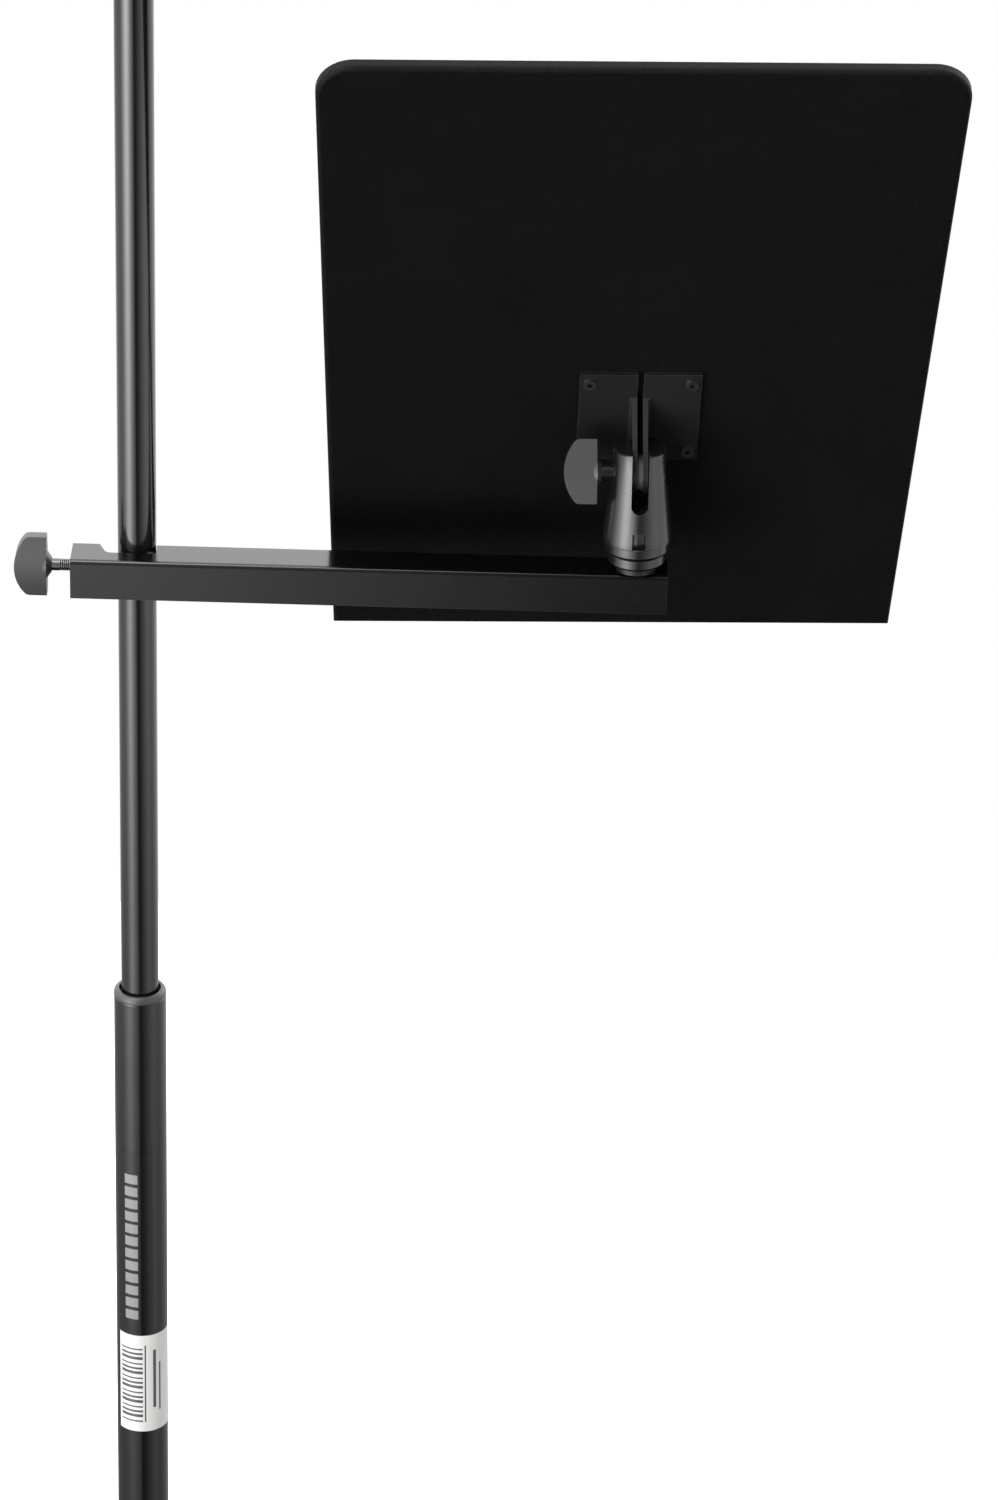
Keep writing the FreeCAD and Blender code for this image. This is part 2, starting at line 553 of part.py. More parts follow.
def make_shaft():
    """The upper shaft, its threaded tip and the twist clutch at its foot."""
    ring("upper_shaft", SHAFT_BORE, "shaft_radius", SHAFT_BOTTOM, SHAFT_TOP, AT_FLOOR)
    tip = turned("shaft_tip", [
        ("0", SHAFT_TOP + " - plug_length"),
        (SHAFT_BORE + " - seat_play", SHAFT_TOP + " - plug_length"),
        (SHAFT_BORE + " - seat_play", SHAFT_TOP),
        ("mic_thread_radius", SHAFT_TOP),
        ("mic_thread_radius", SHAFT_TOP + " + tip_length - 0.6"),
        ("mic_thread_radius - 0.6", SHAFT_TOP + " + tip_length"),
        ("0", SHAFT_TOP + " + tip_length"),
    ], AT_FLOOR)
    thread_rings(tip, "mic_thread_radius", "mic_thread_depth", "mic_thread_pitch",
                 SHAFT_TOP + " + mic_thread_pitch",
                 turns_in("tip_length - 2 * mic_thread_pitch", "mic_thread_pitch") + 1)
    stud_top = SHAFT_BOTTOM + " - clutch_flange"
    sleeve_top = "(" + stud_top + " - clutch_gap)"
    sleeve_low = "(" + sleeve_top + " - clutch_length)"
    stud_end = "(" + sleeve_low + " - 6)"
    foot = turned("shaft_foot", [
        ("0", stud_end),
        ("clutch_stud_radius", stud_end),
        ("clutch_stud_radius", stud_top),
        ("shaft_radius - 0.2", stud_top),
        ("shaft_radius - 0.2", SHAFT_BOTTOM),
        (SHAFT_BORE + " - seat_play", SHAFT_BOTTOM),
        (SHAFT_BORE + " - seat_play", SHAFT_BOTTOM + " + plug_length"),
        ("0", SHAFT_BOTTOM + " + plug_length"),
    ], AT_FLOOR)
    thread_rings(foot, "clutch_stud_radius", "0.6", "clutch_pitch", stud_end + " + clutch_pitch",
                 turns_in("clutch_length + 2", "clutch_pitch"))
    sleeve = turned("clutch_sleeve", [
        (CLUTCH_FLARE, sleeve_low),
        (TUBE_BORE + " - running_play", sleeve_low),
        (TUBE_BORE + " - running_play", sleeve_top),
        ("clutch_mouth", sleeve_top),
        ("clutch_mouth", sleeve_low + " + clutch_taper"),
    ], AT_FLOOR)
    slit = outline(sleeve, "clutch_slit_outline", "XZ_Plane", [
        ("-clutch_slit / 2", sleeve_low + " - 1"),
        ("clutch_slit / 2", sleeve_low + " - 1"),
        ("clutch_slit / 2", sleeve_low + " + clutch_length * 0.7"),
        ("-clutch_slit / 2", sleeve_low + " + clutch_length * 0.7"),
    ])
    pocket(sleeve, slit, "4 * tube_radius", both_ways=True)
    slope = "(%s - clutch_mouth) / clutch_taper" % CLUTCH_FLARE
    cone_low = "(" + sleeve_low + " + 1)"
    turned("clutch_cone", [
        ("clutch_stud_radius + running_play", cone_low),
        (CLUTCH_FLARE + " - cone_play - " + slope, cone_low),
        ("%s - cone_play - %s * (1 + cone_length)" % (CLUTCH_FLARE, slope), cone_low + " + cone_length"),
        ("clutch_stud_radius + running_play", cone_low + " + cone_length"),
    ], AT_FLOOR)
    ring("clutch_stop", "clutch_stud_radius + seat_play", CLUTCH_FLARE, stud_end + " + 1",
         stud_end + " + 4", AT_FLOOR)


def make_arm():
    """The channel arm with its end wall, notch and holes."""
    body = new_body("arm_channel")
    wide, high, skin, bend = "arm_width", "-arm_height", "arm_sheet", "arm_bend"
    inner = "(arm_bend - arm_sheet)"
    section = outline(body, "arm_section", "YZ_Plane", [
        ("0", high),
        ("0", "-arm_rear_bend"),
        ("arm_rear_bend", "0", "arm_rear_bend", -1),
        (wide + " - " + bend, "0"),
        (wide, "-" + bend, bend, -1),
        (wide, high),
        (wide + " - " + skin, high),
        (wide + " - " + skin, "-" + bend),
        (wide + " - " + bend, "-" + skin, inner, 1),
        (skin, "-" + skin),
        (skin, high),
    ], "arm_clamp_reach - " + ARM_LENGTH)
    pad(body, section, ARM_LENGTH)
    wall = outline(body, "arm_end_outline", "YZ_Plane", [
        ("0.4", high),
        ("0.4", "-0.6"),
        (wide + " - 0.6", "-0.6"),
        (wide + " - 0.6", high),
    ], "arm_clamp_reach - arm_sheet")
    pad(body, wall, skin)
    mouth, lean = "(shaft_radius + notch_mouth)", "(notch_lean * 1 deg)"
    round_x = "(%s - (%s - notch_round) * tan(%s) - notch_round / cos(%s))" % (mouth, NOTCH_EDGE, lean, lean)
    notch = outline(body, "arm_notch_outline", "XY_Plane", [
        ("-" + NOTCH_EDGE, "-2"),
        ("%s + 2 * tan(%s)" % (mouth, lean), "-2"),
        (
            "%s + notch_round * cos(%s)" % (round_x, lean),
            "%s - notch_round + notch_round * sin(%s)" % (NOTCH_EDGE, lean),
        ),
        (round_x, NOTCH_EDGE, "notch_round", 1),
        ("notch_seat_round - " + NOTCH_EDGE, NOTCH_EDGE),
        ("-" + NOTCH_EDGE, NOTCH_EDGE + " - notch_seat_round", "notch_seat_round", 1),
    ])
    pocket(body, notch, "3 * arm_height", both_ways=True)
    cut_away = outline(body, "arm_cut_away_outline", "XZ_Plane", [
        ("0", high + " - 1"),
        ("arm_clamp_reach - arm_sheet", high + " - 1"),
        ("arm_clamp_reach - arm_sheet", "-" + skin),
        ("0", "-" + skin),
    ])
    pocket(body, cut_away, "2 * arm_sheet + 0.2", both_ways=True)
    bolt_hole = circle(body, "arm_screw_hole", "YZ_Plane", "screw_offset", "-screw_drop",
                       "screw_radius + tilt_hole_play", "arm_clamp_reach")
    pocket(body, bolt_hole, "4 * arm_sheet", both_ways=True)
    stud_hole = circle(body, "arm_stud_hole", "XY_Plane", "-stud_from_pole", STUD_Y,
                       "stud_shank_radius + seat_play")
    pocket(body, stud_hole, "4 * arm_sheet", both_ways=True)
    piece(body, AT_ARM)


def make_stud():
    """The threaded stud on the arm with its washer, nut and lock ring."""
    ring("stud_washer", "stud_shank_radius + seat_play", "stud_washer_radius", "0",
         "stud_washer_height", AT_STUD)
    below = "-arm_sheet - stud_nut_height"
    stud = turned("arm_stud", [
        ("0", below + " - 1.5"),
        ("stud_shank_radius", below + " - 1.5"),
        ("stud_shank_radius", "stud_washer_height"),
        ("mic_thread_radius", "stud_washer_height"),
        ("mic_thread_radius", "stud_height - 0.8"),
        ("mic_thread_radius - 0.8", "stud_height"),
        ("0", "stud_height"),
    ], AT_STUD)
    thread_rings(stud, "mic_thread_radius", "mic_thread_depth", "mic_thread_pitch",
                 "stud_washer_height + mic_thread_pitch",
                 turns_in("stud_height - stud_washer_height - 2 * mic_thread_pitch", "mic_thread_pitch"))
    hex_nut("stud_nut", "stud_nut_flats", below, "stud_nut_height", "stud_shank_radius + seat_play",
            AT_STUD)
    low = "(stud_washer_height + ring_gap)"
    high = "(stud_washer_height + ring_gap + lock_ring_height)"
    bore = "(mic_thread_radius + running_play)"
    turned("lock_ring", [
        (bore, low),
        ("lock_ring_radius - lock_ring_chamfer", low),
        ("lock_ring_radius", low + " + lock_ring_chamfer"),
        ("lock_ring_radius", high + " - 0.5"),
        ("lock_ring_radius - 0.5", high),
        (bore, high),
    ], AT_STUD)


def make_head():
    """The swivel head, its insert and knurled ring, in the head's own frame."""
    insert_low = "(stud_washer_height + 2 * ring_gap + lock_ring_height)"
    ring_low = "(head_bottom - knurl_height - 0.3)"
    turned("head_insert", [
        ("mic_thread_radius + running_play", insert_low),
        ("insert_neck", insert_low),
        ("insert_neck", "head_bore_top - 0.4"),
        ("mic_thread_radius + running_play", "head_bore_top - 0.4"),
    ], AT_HEAD)
    turned("knurled_ring", [
        ("insert_neck + seat_play", ring_low),
        ("knurl_radius - 0.3", ring_low),
        ("knurl_radius", ring_low + " + 0.3"),
        ("knurl_radius", "head_bottom - 0.6"),
        ("knurl_radius - 0.3", "head_bottom - 0.3"),
        ("insert_neck + seat_play", "head_bottom - 0.3"),
    ], AT_HEAD)
    body = turned("head_body", [
        ("0", "head_bore_top"),
        ("head_bore", "head_bore_top"),
        ("head_bore", "head_bottom"),
        ("head_foot_radius", "head_bottom"),
        ("head_foot_radius", "head_cone_foot"),
        ("head_radius", "head_cone_top"),
        ("head_radius", "head_top - 0.5"),
        ("head_radius - 0.5", "head_top"),
        ("0", "head_top"),
    ], AT_HEAD)
    half = SLOT_HALF
    slot = outline(body, "head_slot_outline", "XZ_Plane", [
        ("-" + half, "slot_floor + " + half),
        ("0", "slot_floor", half, 1),
        (half, "slot_floor + " + half, half, 1),
        (half, "head_top + 2"),
        ("-" + half, "head_top + 2"),
    ])
    pocket(body, slot, "4 * head_foot_radius", both_ways=True)
    window = outline(body, "head_window_outline", "XZ_Plane", [
        ("-window_width / 2", "head_bottom - 1"),
        ("window_width / 2", "head_bottom - 1"),
        ("window_width / 2", "head_bottom + window_height"),
        ("-window_width / 2", "head_bottom + window_height"),
    ])
    pocket(body, window, "2 * head_foot_radius")
    bolt_hole = circle(body, "head_bolt_hole", "YZ_Plane", "0", "pivot_height",
                       "tilt_screw_radius + tilt_hole_play")
    pocket(body, bolt_hole, "4 * head_foot_radius", both_ways=True)
    spot_face = circle(body, "head_spot_face", "YZ_Plane", "0", "pivot_height",
                       WASHER_RADIUS + " + spot_face_play", "head_radius")
    pocket(body, spot_face, "head_foot_radius", reverse=True)
    corners = hexagon("tilt_nut_flats + 2 * seat_play", 0, "0", "pivot_height")
    nut = outline(body, "head_nut_outline", "YZ_Plane", corners, "-head_radius - 1")
    pocket(body, nut, "tilt_nut_height + 1.6", reverse=True)


def make_tilt():
    """The tilt screw with its washer and nut, along the tilt axis."""
    start = "(0.6 - head_radius)"
    hex_nut("tilt_nut", "tilt_nut_flats", start, "tilt_nut_height - 0.2",
            "tilt_screw_radius + running_play", AT_TILT)
    washer_low = "(head_radius + ring_gap)"
    washer_high = "(head_radius + ring_gap + tilt_washer_height)"
    turned("tilt_washer", [
        ("tilt_screw_radius + running_play", washer_low),
        (WASHER_RADIUS, washer_low),
        (WASHER_RADIUS, washer_high),
        ("tilt_screw_radius + running_play", washer_high),
    ], AT_TILT)
    knob_face = "(" + washer_high + " + ring_gap + knob_boss_length)"
    screw = turned("tilt_screw", [
        ("0", start),
        ("tilt_screw_radius - 0.5", start),
        ("tilt_screw_radius", start + " + 0.5"),
        ("tilt_screw_radius", knob_face + " + knob_socket_depth"),
        ("0", knob_face + " + knob_socket_depth"),
    ], AT_TILT)
    thread_rings(screw, "tilt_screw_radius", "screw_thread_depth", "tilt_screw_pitch",
                 start + " + tilt_screw_pitch", turns_in("head_radius + 2", "tilt_screw_pitch"))
    turn = Rotation(UP, size("tilt_knob_turn"))
    where = frame_at(*PIVOT, HEAD_TURN.multiply(ALONG_X).multiply(turn))
    wing_knob("tilt_knob", knob_face, "tilt_screw_radius", where)


def wing_knob(label, face, screw_radius, where):
    """A moulded wing knob whose flat face stands at a height on its own Z axis."""
    body = new_body(label)
    half, edge, crown = "knob_span / 2", "knob_edge / 2", "(knob_depth - knob_side)"
    swell = "((knob_thickness - knob_edge) / 2)"
    side_radius = "(%s) * (%s) / 2 / %s + %s / 2" % (half, half, swell, swell)
    crown_radius = "(%s) * (%s) / 2 / %s + %s / 2" % (half, half, crown, crown)
    wing = outline(body, label + "_outline", "XY_Plane", [
        ("-" + half, "-" + edge),
        (half, "-" + edge, side_radius, 1),
        (half, edge),
        ("-" + half, edge, side_radius, 1),
    ], face)
    pad(body, wing, "knob_depth")
    shoulder, beyond = face + " + knob_side", face + " + knob_depth + 1"
    outside = outline(body, label + "_crown", "XZ_Plane", [
        ("-%s - 1" % half, shoulder),
        ("-" + half, shoulder),
        (half, shoulder, crown_radius, -1),
        (half + " + 1", shoulder),
        (half + " + 1", beyond),
        ("-%s - 1" % half, beyond),
    ])
    pocket(body, outside, "2 * knob_thickness", both_ways=True)
    far, high = size(half), size(shoulder)
    round_edges(body, label + "_corners", "knob_corner",
                lambda p: near(abs(p.x), far) and near(p.z, high))
    boss = outline(body, label + "_boss_profile", "XZ_Plane", [
        ("0", face + " - knob_boss_length"),
        (screw_radius + " + knob_boss_wall", face + " - knob_boss_length"),
        ("knob_boss_radius", face),
        ("knob_boss_radius - 1.6", face + " + 2"),
        ("0", face + " + 2"),
    ])
    turning = body.newObject("PartDesign::Revolution", label + "_boss")
    turning.Profile = boss
    turning.ReferenceAxis = (boss, ["V_Axis"])
    turning.Angle = 360
    doc.recompute()
    socket = circle(body, label + "_socket", "XY_Plane", "0", "0", screw_radius + " + seat_play",
                    face + " - knob_boss_length - 1")
    pocket(body, socket, "1 + knob_boss_length + knob_socket_depth + 0.02", reverse=True)
    return piece(body, where)


def make_clamp():
    """The clamp screw with its welded nut, swivel pad and wing knob."""
    wall_inside = "(arm_clamp_reach - arm_sheet)"
    hex_nut("clamp_nut", "clamp_nut_flats", wall_inside + " - clamp_nut_height", "clamp_nut_height",
            "screw_radius + running_play", AT_CLAMP, first=0)
    pad_low = "(shaft_radius + pad_gap)"
    turned("clamp_pad", [
        ("0", pad_low),
        ("pad_radius - 0.4", pad_low),
        ("pad_radius", pad_low + " + 0.4"),
        ("pad_radius", pad_low + " + pad_height"),
        ("pad_socket_radius", pad_low + " + pad_height"),
        ("pad_socket_radius", pad_low + " + pad_height - pad_socket_depth"),
        ("0", pad_low + " + pad_height - pad_socket_depth"),
    ], AT_CLAMP)
    tip_low = "(" + pad_low + " + pad_height - pad_socket_depth + 0.1)"
    thread_low = "(" + pad_low + " + pad_height + 0.1)"
    face = "(arm_clamp_reach + clamp_knob_stand_off)"
    screw = turned("clamp_screw", [
        ("0", tip_low),
        ("pad_socket_radius - running_play", tip_low),
        ("pad_socket_radius - running_play", thread_low),
        ("screw_radius - 0.4", thread_low),
        ("screw_radius", thread_low + " + 0.4"),
        ("screw_radius", face + " + knob_socket_depth"),
        ("0", face + " + knob_socket_depth"),
    ], AT_CLAMP)
    thread_rings(screw, "screw_radius", "screw_thread_depth", "screw_pitch",
                 thread_low + " + screw_pitch",
                 turns_in("arm_clamp_reach + clamp_knob_stand_off - 17", "screw_pitch"))
    wing_knob("clamp_knob", face, "screw_radius", AT_CLAMP)


def make_bracket():
    """The two angle plates that carry the desk, with the spacer between their fins."""
    root = "sqrt(fin_top * fin_top + desk_offset * desk_offset)"
    lean = "180 deg - atan(fin_top / desk_offset) - acos(fin_nose / %s)" % root
    nose_end = "fin_nose * %s(" + lean + ")"
    for label, side in (("bracket_pole_side", 1), ("bracket_far_side", -1)):
        body = new_body(label)
        plate = outline(body, label + "_flange", "XZ_Plane", [
            ("%d * fin_inner" % side, "-flange_bottom"),
            ("%d * flange_half_width" % side, "-flange_bottom"),
            ("%d * flange_half_width" % side, "flange_top"),
            ("%d * fin_inner" % side, "flange_top"),
        ], "desk_offset - bracket_sheet")
        pad(body, plate, "bracket_sheet")
        fin = outline(body, label + "_fin", "YZ_Plane", [
            ("-desk_offset", "-fin_nose"),
            ("0", "-fin_nose"),
            (nose_end % "cos", nose_end % "sin", "fin_nose", 1),
            ("-desk_offset", "fin_top"),
        ], "fin_inner" if side > 0 else "-fin_inner - bracket_sheet")
        pad(body, fin, "bracket_sheet")
        fin_side = side * size(FIN_OUTER)
        inside = -size("desk_offset - bracket_sheet")
        round_edges(body, label + "_inner_bend", "bracket_bend",
                    lambda p: near(p.x, fin_side) and near(p.y, inside))
        corner, outside = side * size("fin_inner"), -size("desk_offset")
        round_edges(body, label + "_outer_bend", "bracket_bend",
                    lambda p: near(p.x, corner) and near(p.y, outside))
        hole = circle(body, label + "_pivot_hole", "YZ_Plane", "0", "0",
                      "tilt_screw_radius + tilt_hole_play")
        pocket(body, hole, "8 * " + SLOT_HALF, both_ways=True)
        for name, height in (("upper", "rivet_upper"), ("lower", "-rivet_lower")):
            hole = circle(body, "%s_%s_hole" % (label, name), "XZ_Plane", "%d * rivet_x" % side,
                          height, "rivet_shank_radius + seat_play", "desk_offset")
            pocket(body, hole, "4 * bracket_sheet", both_ways=True)
        piece(body, AT_DESK)
    body = new_body("bracket_spacer")
    disc = circle(body, "bracket_spacer_disc", "YZ_Plane", "0", "0", "fin_nose - 1.2")
    pad(body, disc, "2 * fin_inner - 0.1", both_ways=True)
    hole = circle(body, "bracket_spacer_hole", "YZ_Plane", "0", "0",
                  "tilt_screw_radius + tilt_hole_play")
    pocket(body, hole, "4 * fin_inner", both_ways=True)
    piece(body, AT_DESK)


def desk_outline(body, name, inset, height):
    """The desk's outline, drawn in by an inset, with its top corners rounded."""
    slope = "((desk_top_width - desk_bottom_width) / 2 / (desk_above_pivot + desk_below_pivot))"
    top = "(desk_above_pivot - %s)" % inset
    low = "(%s - desk_below_pivot)" % inset
    lean = "sqrt(1 + %s * %s)" % (slope, slope)
    middle_edge = "(desk_bottom_width / 2 + desk_below_pivot * %s - %s * %s)" % (slope, inset, lean)
    corner = "(desk_corner - %s)" % inset
    tangent = "(%s * (%s + %s))" % (corner, lean, slope)
    top_x = "(%s + %s * %s)" % (middle_edge, slope, top)
    low_x = "(%s + %s * %s)" % (middle_edge, slope, low)
    side_x = "(%s - %s * %s / %s)" % (top_x, tangent, slope, lean)
    side_z = "(%s - %s / %s)" % (top, tangent, lean)
    return outline(body, name, "XZ_Plane", [
        ("desk_shift - " + low_x, low),
        ("desk_shift + " + low_x, low),
        ("desk_shift + " + side_x, side_z),
        ("desk_shift + %s - %s" % (top_x, tangent), top, corner, 1),
        ("desk_shift - %s + %s" % (top_x, tangent), top),
        ("desk_shift - " + side_x, side_z, corner, 1),
    ], height)


def make_desk():
    """The bent sheet desk with its rim, ledge and lip, and the rivets that hold it."""
    body = new_body("desk_panel")
    tray = desk_outline(body, "desk_tray", "0", "desk_offset")
    pad(body, tray, "desk_rim")
    back = -size("desk_offset")
    round_edges(body, "desk_back_bend", "desk_bend", lambda p: near(p.y, back))
    hollow = desk_outline(body, "desk_hollow", "desk_sheet", "desk_offset + desk_sheet")
    pocket(body, hollow, "desk_rim", reverse=True)
    low = "-desk_below_pivot"
    ledge_top = "(desk_sheet - desk_below_pivot)"
    front = "(-desk_offset - ledge_depth)"
    ledge = outline(body, "desk_ledge", "YZ_Plane", [
        ("-desk_offset - desk_bend", low),
        ("-desk_offset - desk_bend", ledge_top),
        (front + " + desk_bend", ledge_top),
        (front + " + desk_sheet", "desk_bend - desk_below_pivot", "desk_bend - desk_sheet", -1),
        (front + " + desk_sheet", "ledge_lip - desk_below_pivot"),
        (front, "ledge_lip - desk_below_pivot"),
        (front, "desk_bend - desk_below_pivot"),
        (front + " + desk_bend", low, "desk_bend", 1),
    ], "desk_shift - desk_bottom_width / 2 + 0.6")
    pad(body, ledge, "desk_bottom_width - 1.2")
    for side in (1, -1):
        for name, height in (("upper", "rivet_upper"), ("lower", "-rivet_lower")):
            hole = circle(body, "desk_hole_%s_%d" % (name, side + 2), "XZ_Plane",
                          "%d * rivet_x" % side, height, "rivet_shank_radius + seat_play",
                          "desk_offset")
            pocket(body, hole, "4 * desk_sheet", both_ways=True)
    piece(body, AT_DESK)
    group_of_rivets()


def group_of_rivets():
    """Four blind rivets through the bracket's flanges and the desk."""
    profile = [
        ("rivet_hole_radius", "-rivet_head_height"),
        ("rivet_head_radius", "-rivet_head_height"),
        ("rivet_head_radius", "0"),
        ("rivet_shank_radius", "0"),
        ("rivet_shank_radius", "rivet_grip"),
        ("rivet_tail_radius", "rivet_grip"),
        ("rivet_tail_radius", "rivet_grip + rivet_tail_height"),
        ("0", "rivet_grip + rivet_tail_height"),
        ("0", "rivet_grip"),
        ("rivet_hole_radius", "rivet_grip"),
    ]
    profile = [tuple(text.replace("rivet_grip", "(bracket_sheet + desk_sheet)") for text in p)
               for p in profile]
    pivot, turn = AT_DESK[0], AT_DESK[2]
    along = turn.multiply(Rotation(RIGHT, 90))
    rivets = []
    for side in (1, -1):
        for height in ("rivet_upper", "-rivet_lower"):
            body = new_body("rivet_%d" % (len(rivets) + 1))
            sketch = outline(body, body.Label + "_profile", "XZ_Plane", profile)
            turning = body.newObject("PartDesign::Revolution", body.Label + "_turning")
            turning.Profile = sketch
            turning.ReferenceAxis = (sketch, ["V_Axis"])
            turning.Angle = 360
            spot = Vector(side * size("rivet_x"), -size("desk_offset - bracket_sheet"), size(height))
            body.Placement = FreeCAD.Placement(pivot + turn.multVec(spot), along)
            rivets.append(body)
    group("desk_rivets", rivets)


make_base()
make_pole()
make_shaft()
make_arm()
make_clamp()
make_stud()
make_head()
make_tilt()
make_bracket()
make_desk()
doc.recompute()

for item in doc.Objects:
    if "Invalid" in item.State or "Error" in item.State:
        raise RuntimeError("%s is not valid: %s" % (item.Label, item.State))
for item in PIECES:
    if item.Shape.isNull() or not item.Shape.isValid():
        raise RuntimeError("%s has no valid shape" % item.Label)

os.makedirs("parts", exist_ok=True)
for item in PIECES:
    item.Shape.exportStep("parts/%s.step" % item.Label)
    box = item.Shape.BoundBox
    print("%-20s %d solid(s) %10.1f mm3  x %.1f..%.1f y %.1f..%.1f z %.1f..%.1f" % (
        item.Label, len(item.Shape.Solids), item.Shape.Volume,
        box.XMin, box.XMax, box.YMin, box.YMax, box.ZMin, box.ZMax))
print(len(PIECES), "sub-parts")
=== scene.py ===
"""Finishes a clamp-on music stand: metal, paint and plastic looks, softened edges, and a plain studio."""
import json
import math

import bpy
from bpy.props import FloatProperty, FloatVectorProperty, IntProperty, PointerProperty
from mathutils import Matrix, Vector

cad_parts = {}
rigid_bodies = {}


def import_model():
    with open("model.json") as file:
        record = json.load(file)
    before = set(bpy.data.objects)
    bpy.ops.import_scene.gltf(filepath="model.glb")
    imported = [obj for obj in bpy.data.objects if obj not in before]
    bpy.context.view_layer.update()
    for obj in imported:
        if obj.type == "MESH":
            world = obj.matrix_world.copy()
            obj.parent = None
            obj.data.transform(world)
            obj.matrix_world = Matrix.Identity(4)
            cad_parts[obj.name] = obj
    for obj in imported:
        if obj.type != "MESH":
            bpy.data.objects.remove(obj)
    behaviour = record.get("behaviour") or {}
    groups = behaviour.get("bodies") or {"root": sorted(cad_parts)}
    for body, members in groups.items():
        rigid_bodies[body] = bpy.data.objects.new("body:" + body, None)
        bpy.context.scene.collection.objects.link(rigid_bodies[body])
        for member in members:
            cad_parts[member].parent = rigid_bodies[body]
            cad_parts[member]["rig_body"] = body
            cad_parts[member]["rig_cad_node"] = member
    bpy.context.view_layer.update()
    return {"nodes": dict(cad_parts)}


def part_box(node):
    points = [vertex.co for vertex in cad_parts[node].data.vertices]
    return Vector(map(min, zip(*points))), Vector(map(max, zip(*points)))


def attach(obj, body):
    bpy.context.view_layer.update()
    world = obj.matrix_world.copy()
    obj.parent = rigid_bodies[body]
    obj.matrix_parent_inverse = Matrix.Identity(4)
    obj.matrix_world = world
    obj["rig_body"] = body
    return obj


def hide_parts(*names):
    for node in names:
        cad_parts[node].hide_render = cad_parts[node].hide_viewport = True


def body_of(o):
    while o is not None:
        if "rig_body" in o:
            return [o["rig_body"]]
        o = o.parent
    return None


bl_info = {
    "name": "Music stand finishes",
    "version": (1, 0, 0),
    "blender": (4, 5, 0),
    "location": "3D view > Sidebar > Music stand",
    "description": "Gives a clamp-on music stand its finishes and sets up a plain studio",
    "category": "Object",
}

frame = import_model()
NODES = frame["nodes"]

ARM_LOW, ARM_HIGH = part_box("arm_channel")
ARM_TOP = ARM_HIGH.z
HEAD_LOW, HEAD_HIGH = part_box("head_body")
STUD_LOW, STUD_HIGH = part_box("arm_stud")
STUD = (STUD_LOW + STUD_HIGH) / 2
MM = 0.001


# Brightness round the room by the compass, in degrees from +Y towards +X.
ROOM_LEVELS = ((-180, 1.3), (-129, 1.6), (-91, 1.4), (-63, 2.3), (-38, 1.3), (-16, 0.3), (-6, 0.06),
               (-1, 0.08), (1.5, 0.5), (4.4, 1.8), (12, 1.9), (60, 1.7), (83, 1.5), (100, 1.2), (121, 0.9), (180, 1.3))
LAMP_LEVELS = ((8, 0.0), (20, 2.0), (30, 5.2), (42, 7.8), (55, 4.8), (68, 1.3), (82, 0.0))
# How the lamp fades downwards, by the sine of the elevation.
LAMP_RISE = ((-0.60, 0.05), (-0.55, 0.12), (-0.50, 0.35), (-0.45, 0.75), (-0.41, 1.05), (-0.37, 1.5), (0.2, 1.5))
# How the whole room fades downwards, by the sine of the elevation.
FLOOR_LEVELS = ((-1.0, 0.02), (-0.72, 0.02), (-0.60, 0.26), (-0.51, 0.40), (-0.48, 0.68), (-0.44, 1.0), (1.0, 1.0))


# Plain bars on the labels: left, right, bottom and top, as shares of the label.
DECAL_BARS = tuple((0.16, 0.56, 0.08 + 0.068 * k, 0.08 + 0.068 * k + 0.05) for k in range(12))
STICKER_BARS = tuple((0.04, 0.50, 0.10 + 0.05 * k, 0.10 + 0.05 * k + (0.016, 0.030, 0.022)[k % 3])
                     for k in range(16)) + ((0.54, 0.57, 0.10, 0.90), (0.72, 0.78, 0.24, 0.84), (0.84, 0.87, 0.2, 0.7))


# ---------------------------------------------------------------- settings

def colour_setting(name, description, default):
    """A colour that the sidebar can change."""
    return FloatVectorProperty(name=name, description=description, default=default,
                               subtype="COLOR", size=3, min=0.0, max=1.0)


def amount(name, description, default):
    """A number from 0 to 1 that the sidebar can change."""
    return FloatProperty(name=name, description=description, default=default,
                         min=0.0, max=1.0, subtype="FACTOR")


def length(name, description, default):
    """A length that the sidebar can change."""
    return FloatProperty(name=name, description=description, default=default,
                         min=0.0, unit="LENGTH", precision=5)


class GlossSettings(bpy.types.PropertyGroup):
    tube_colour: colour_setting("Tubes", "Colour of the tubes' gloss paint", (0.003, 0.003, 0.003))
    tube_roughness: amount("Tube roughness", "How dull the tubes' paint is", 0.17)
    arm_colour: colour_setting("Arm", "Colour of the arm's gloss paint", (0.0012, 0.0012, 0.0012))
    arm_roughness: amount("Arm roughness", "How dull the arm's paint is", 0.13)
    head_colour: colour_setting("Head", "Colour of the head's gloss paint", (0.003, 0.003, 0.003))
    head_roughness: amount("Head roughness", "How dull the head's paint is", 0.27)
    steel_colour: colour_setting("Small steel parts", "Colour of nuts, screws and threads",
                                 (0.10, 0.10, 0.10))


class MatteSettings(bpy.types.PropertyGroup):
    desk_colour: colour_setting("Desk", "Colour of the desk's textured paint", (0.0012, 0.0012, 0.0012))
    desk_roughness: amount("Desk roughness", "How dull the desk's paint is", 0.55)
    bracket_colour: colour_setting("Bracket", "Colour of the bracket's paint", (0.006, 0.006, 0.006))
    base_colour: colour_setting("Base", "Colour of the cast base's paint", (0.008, 0.008, 0.008))


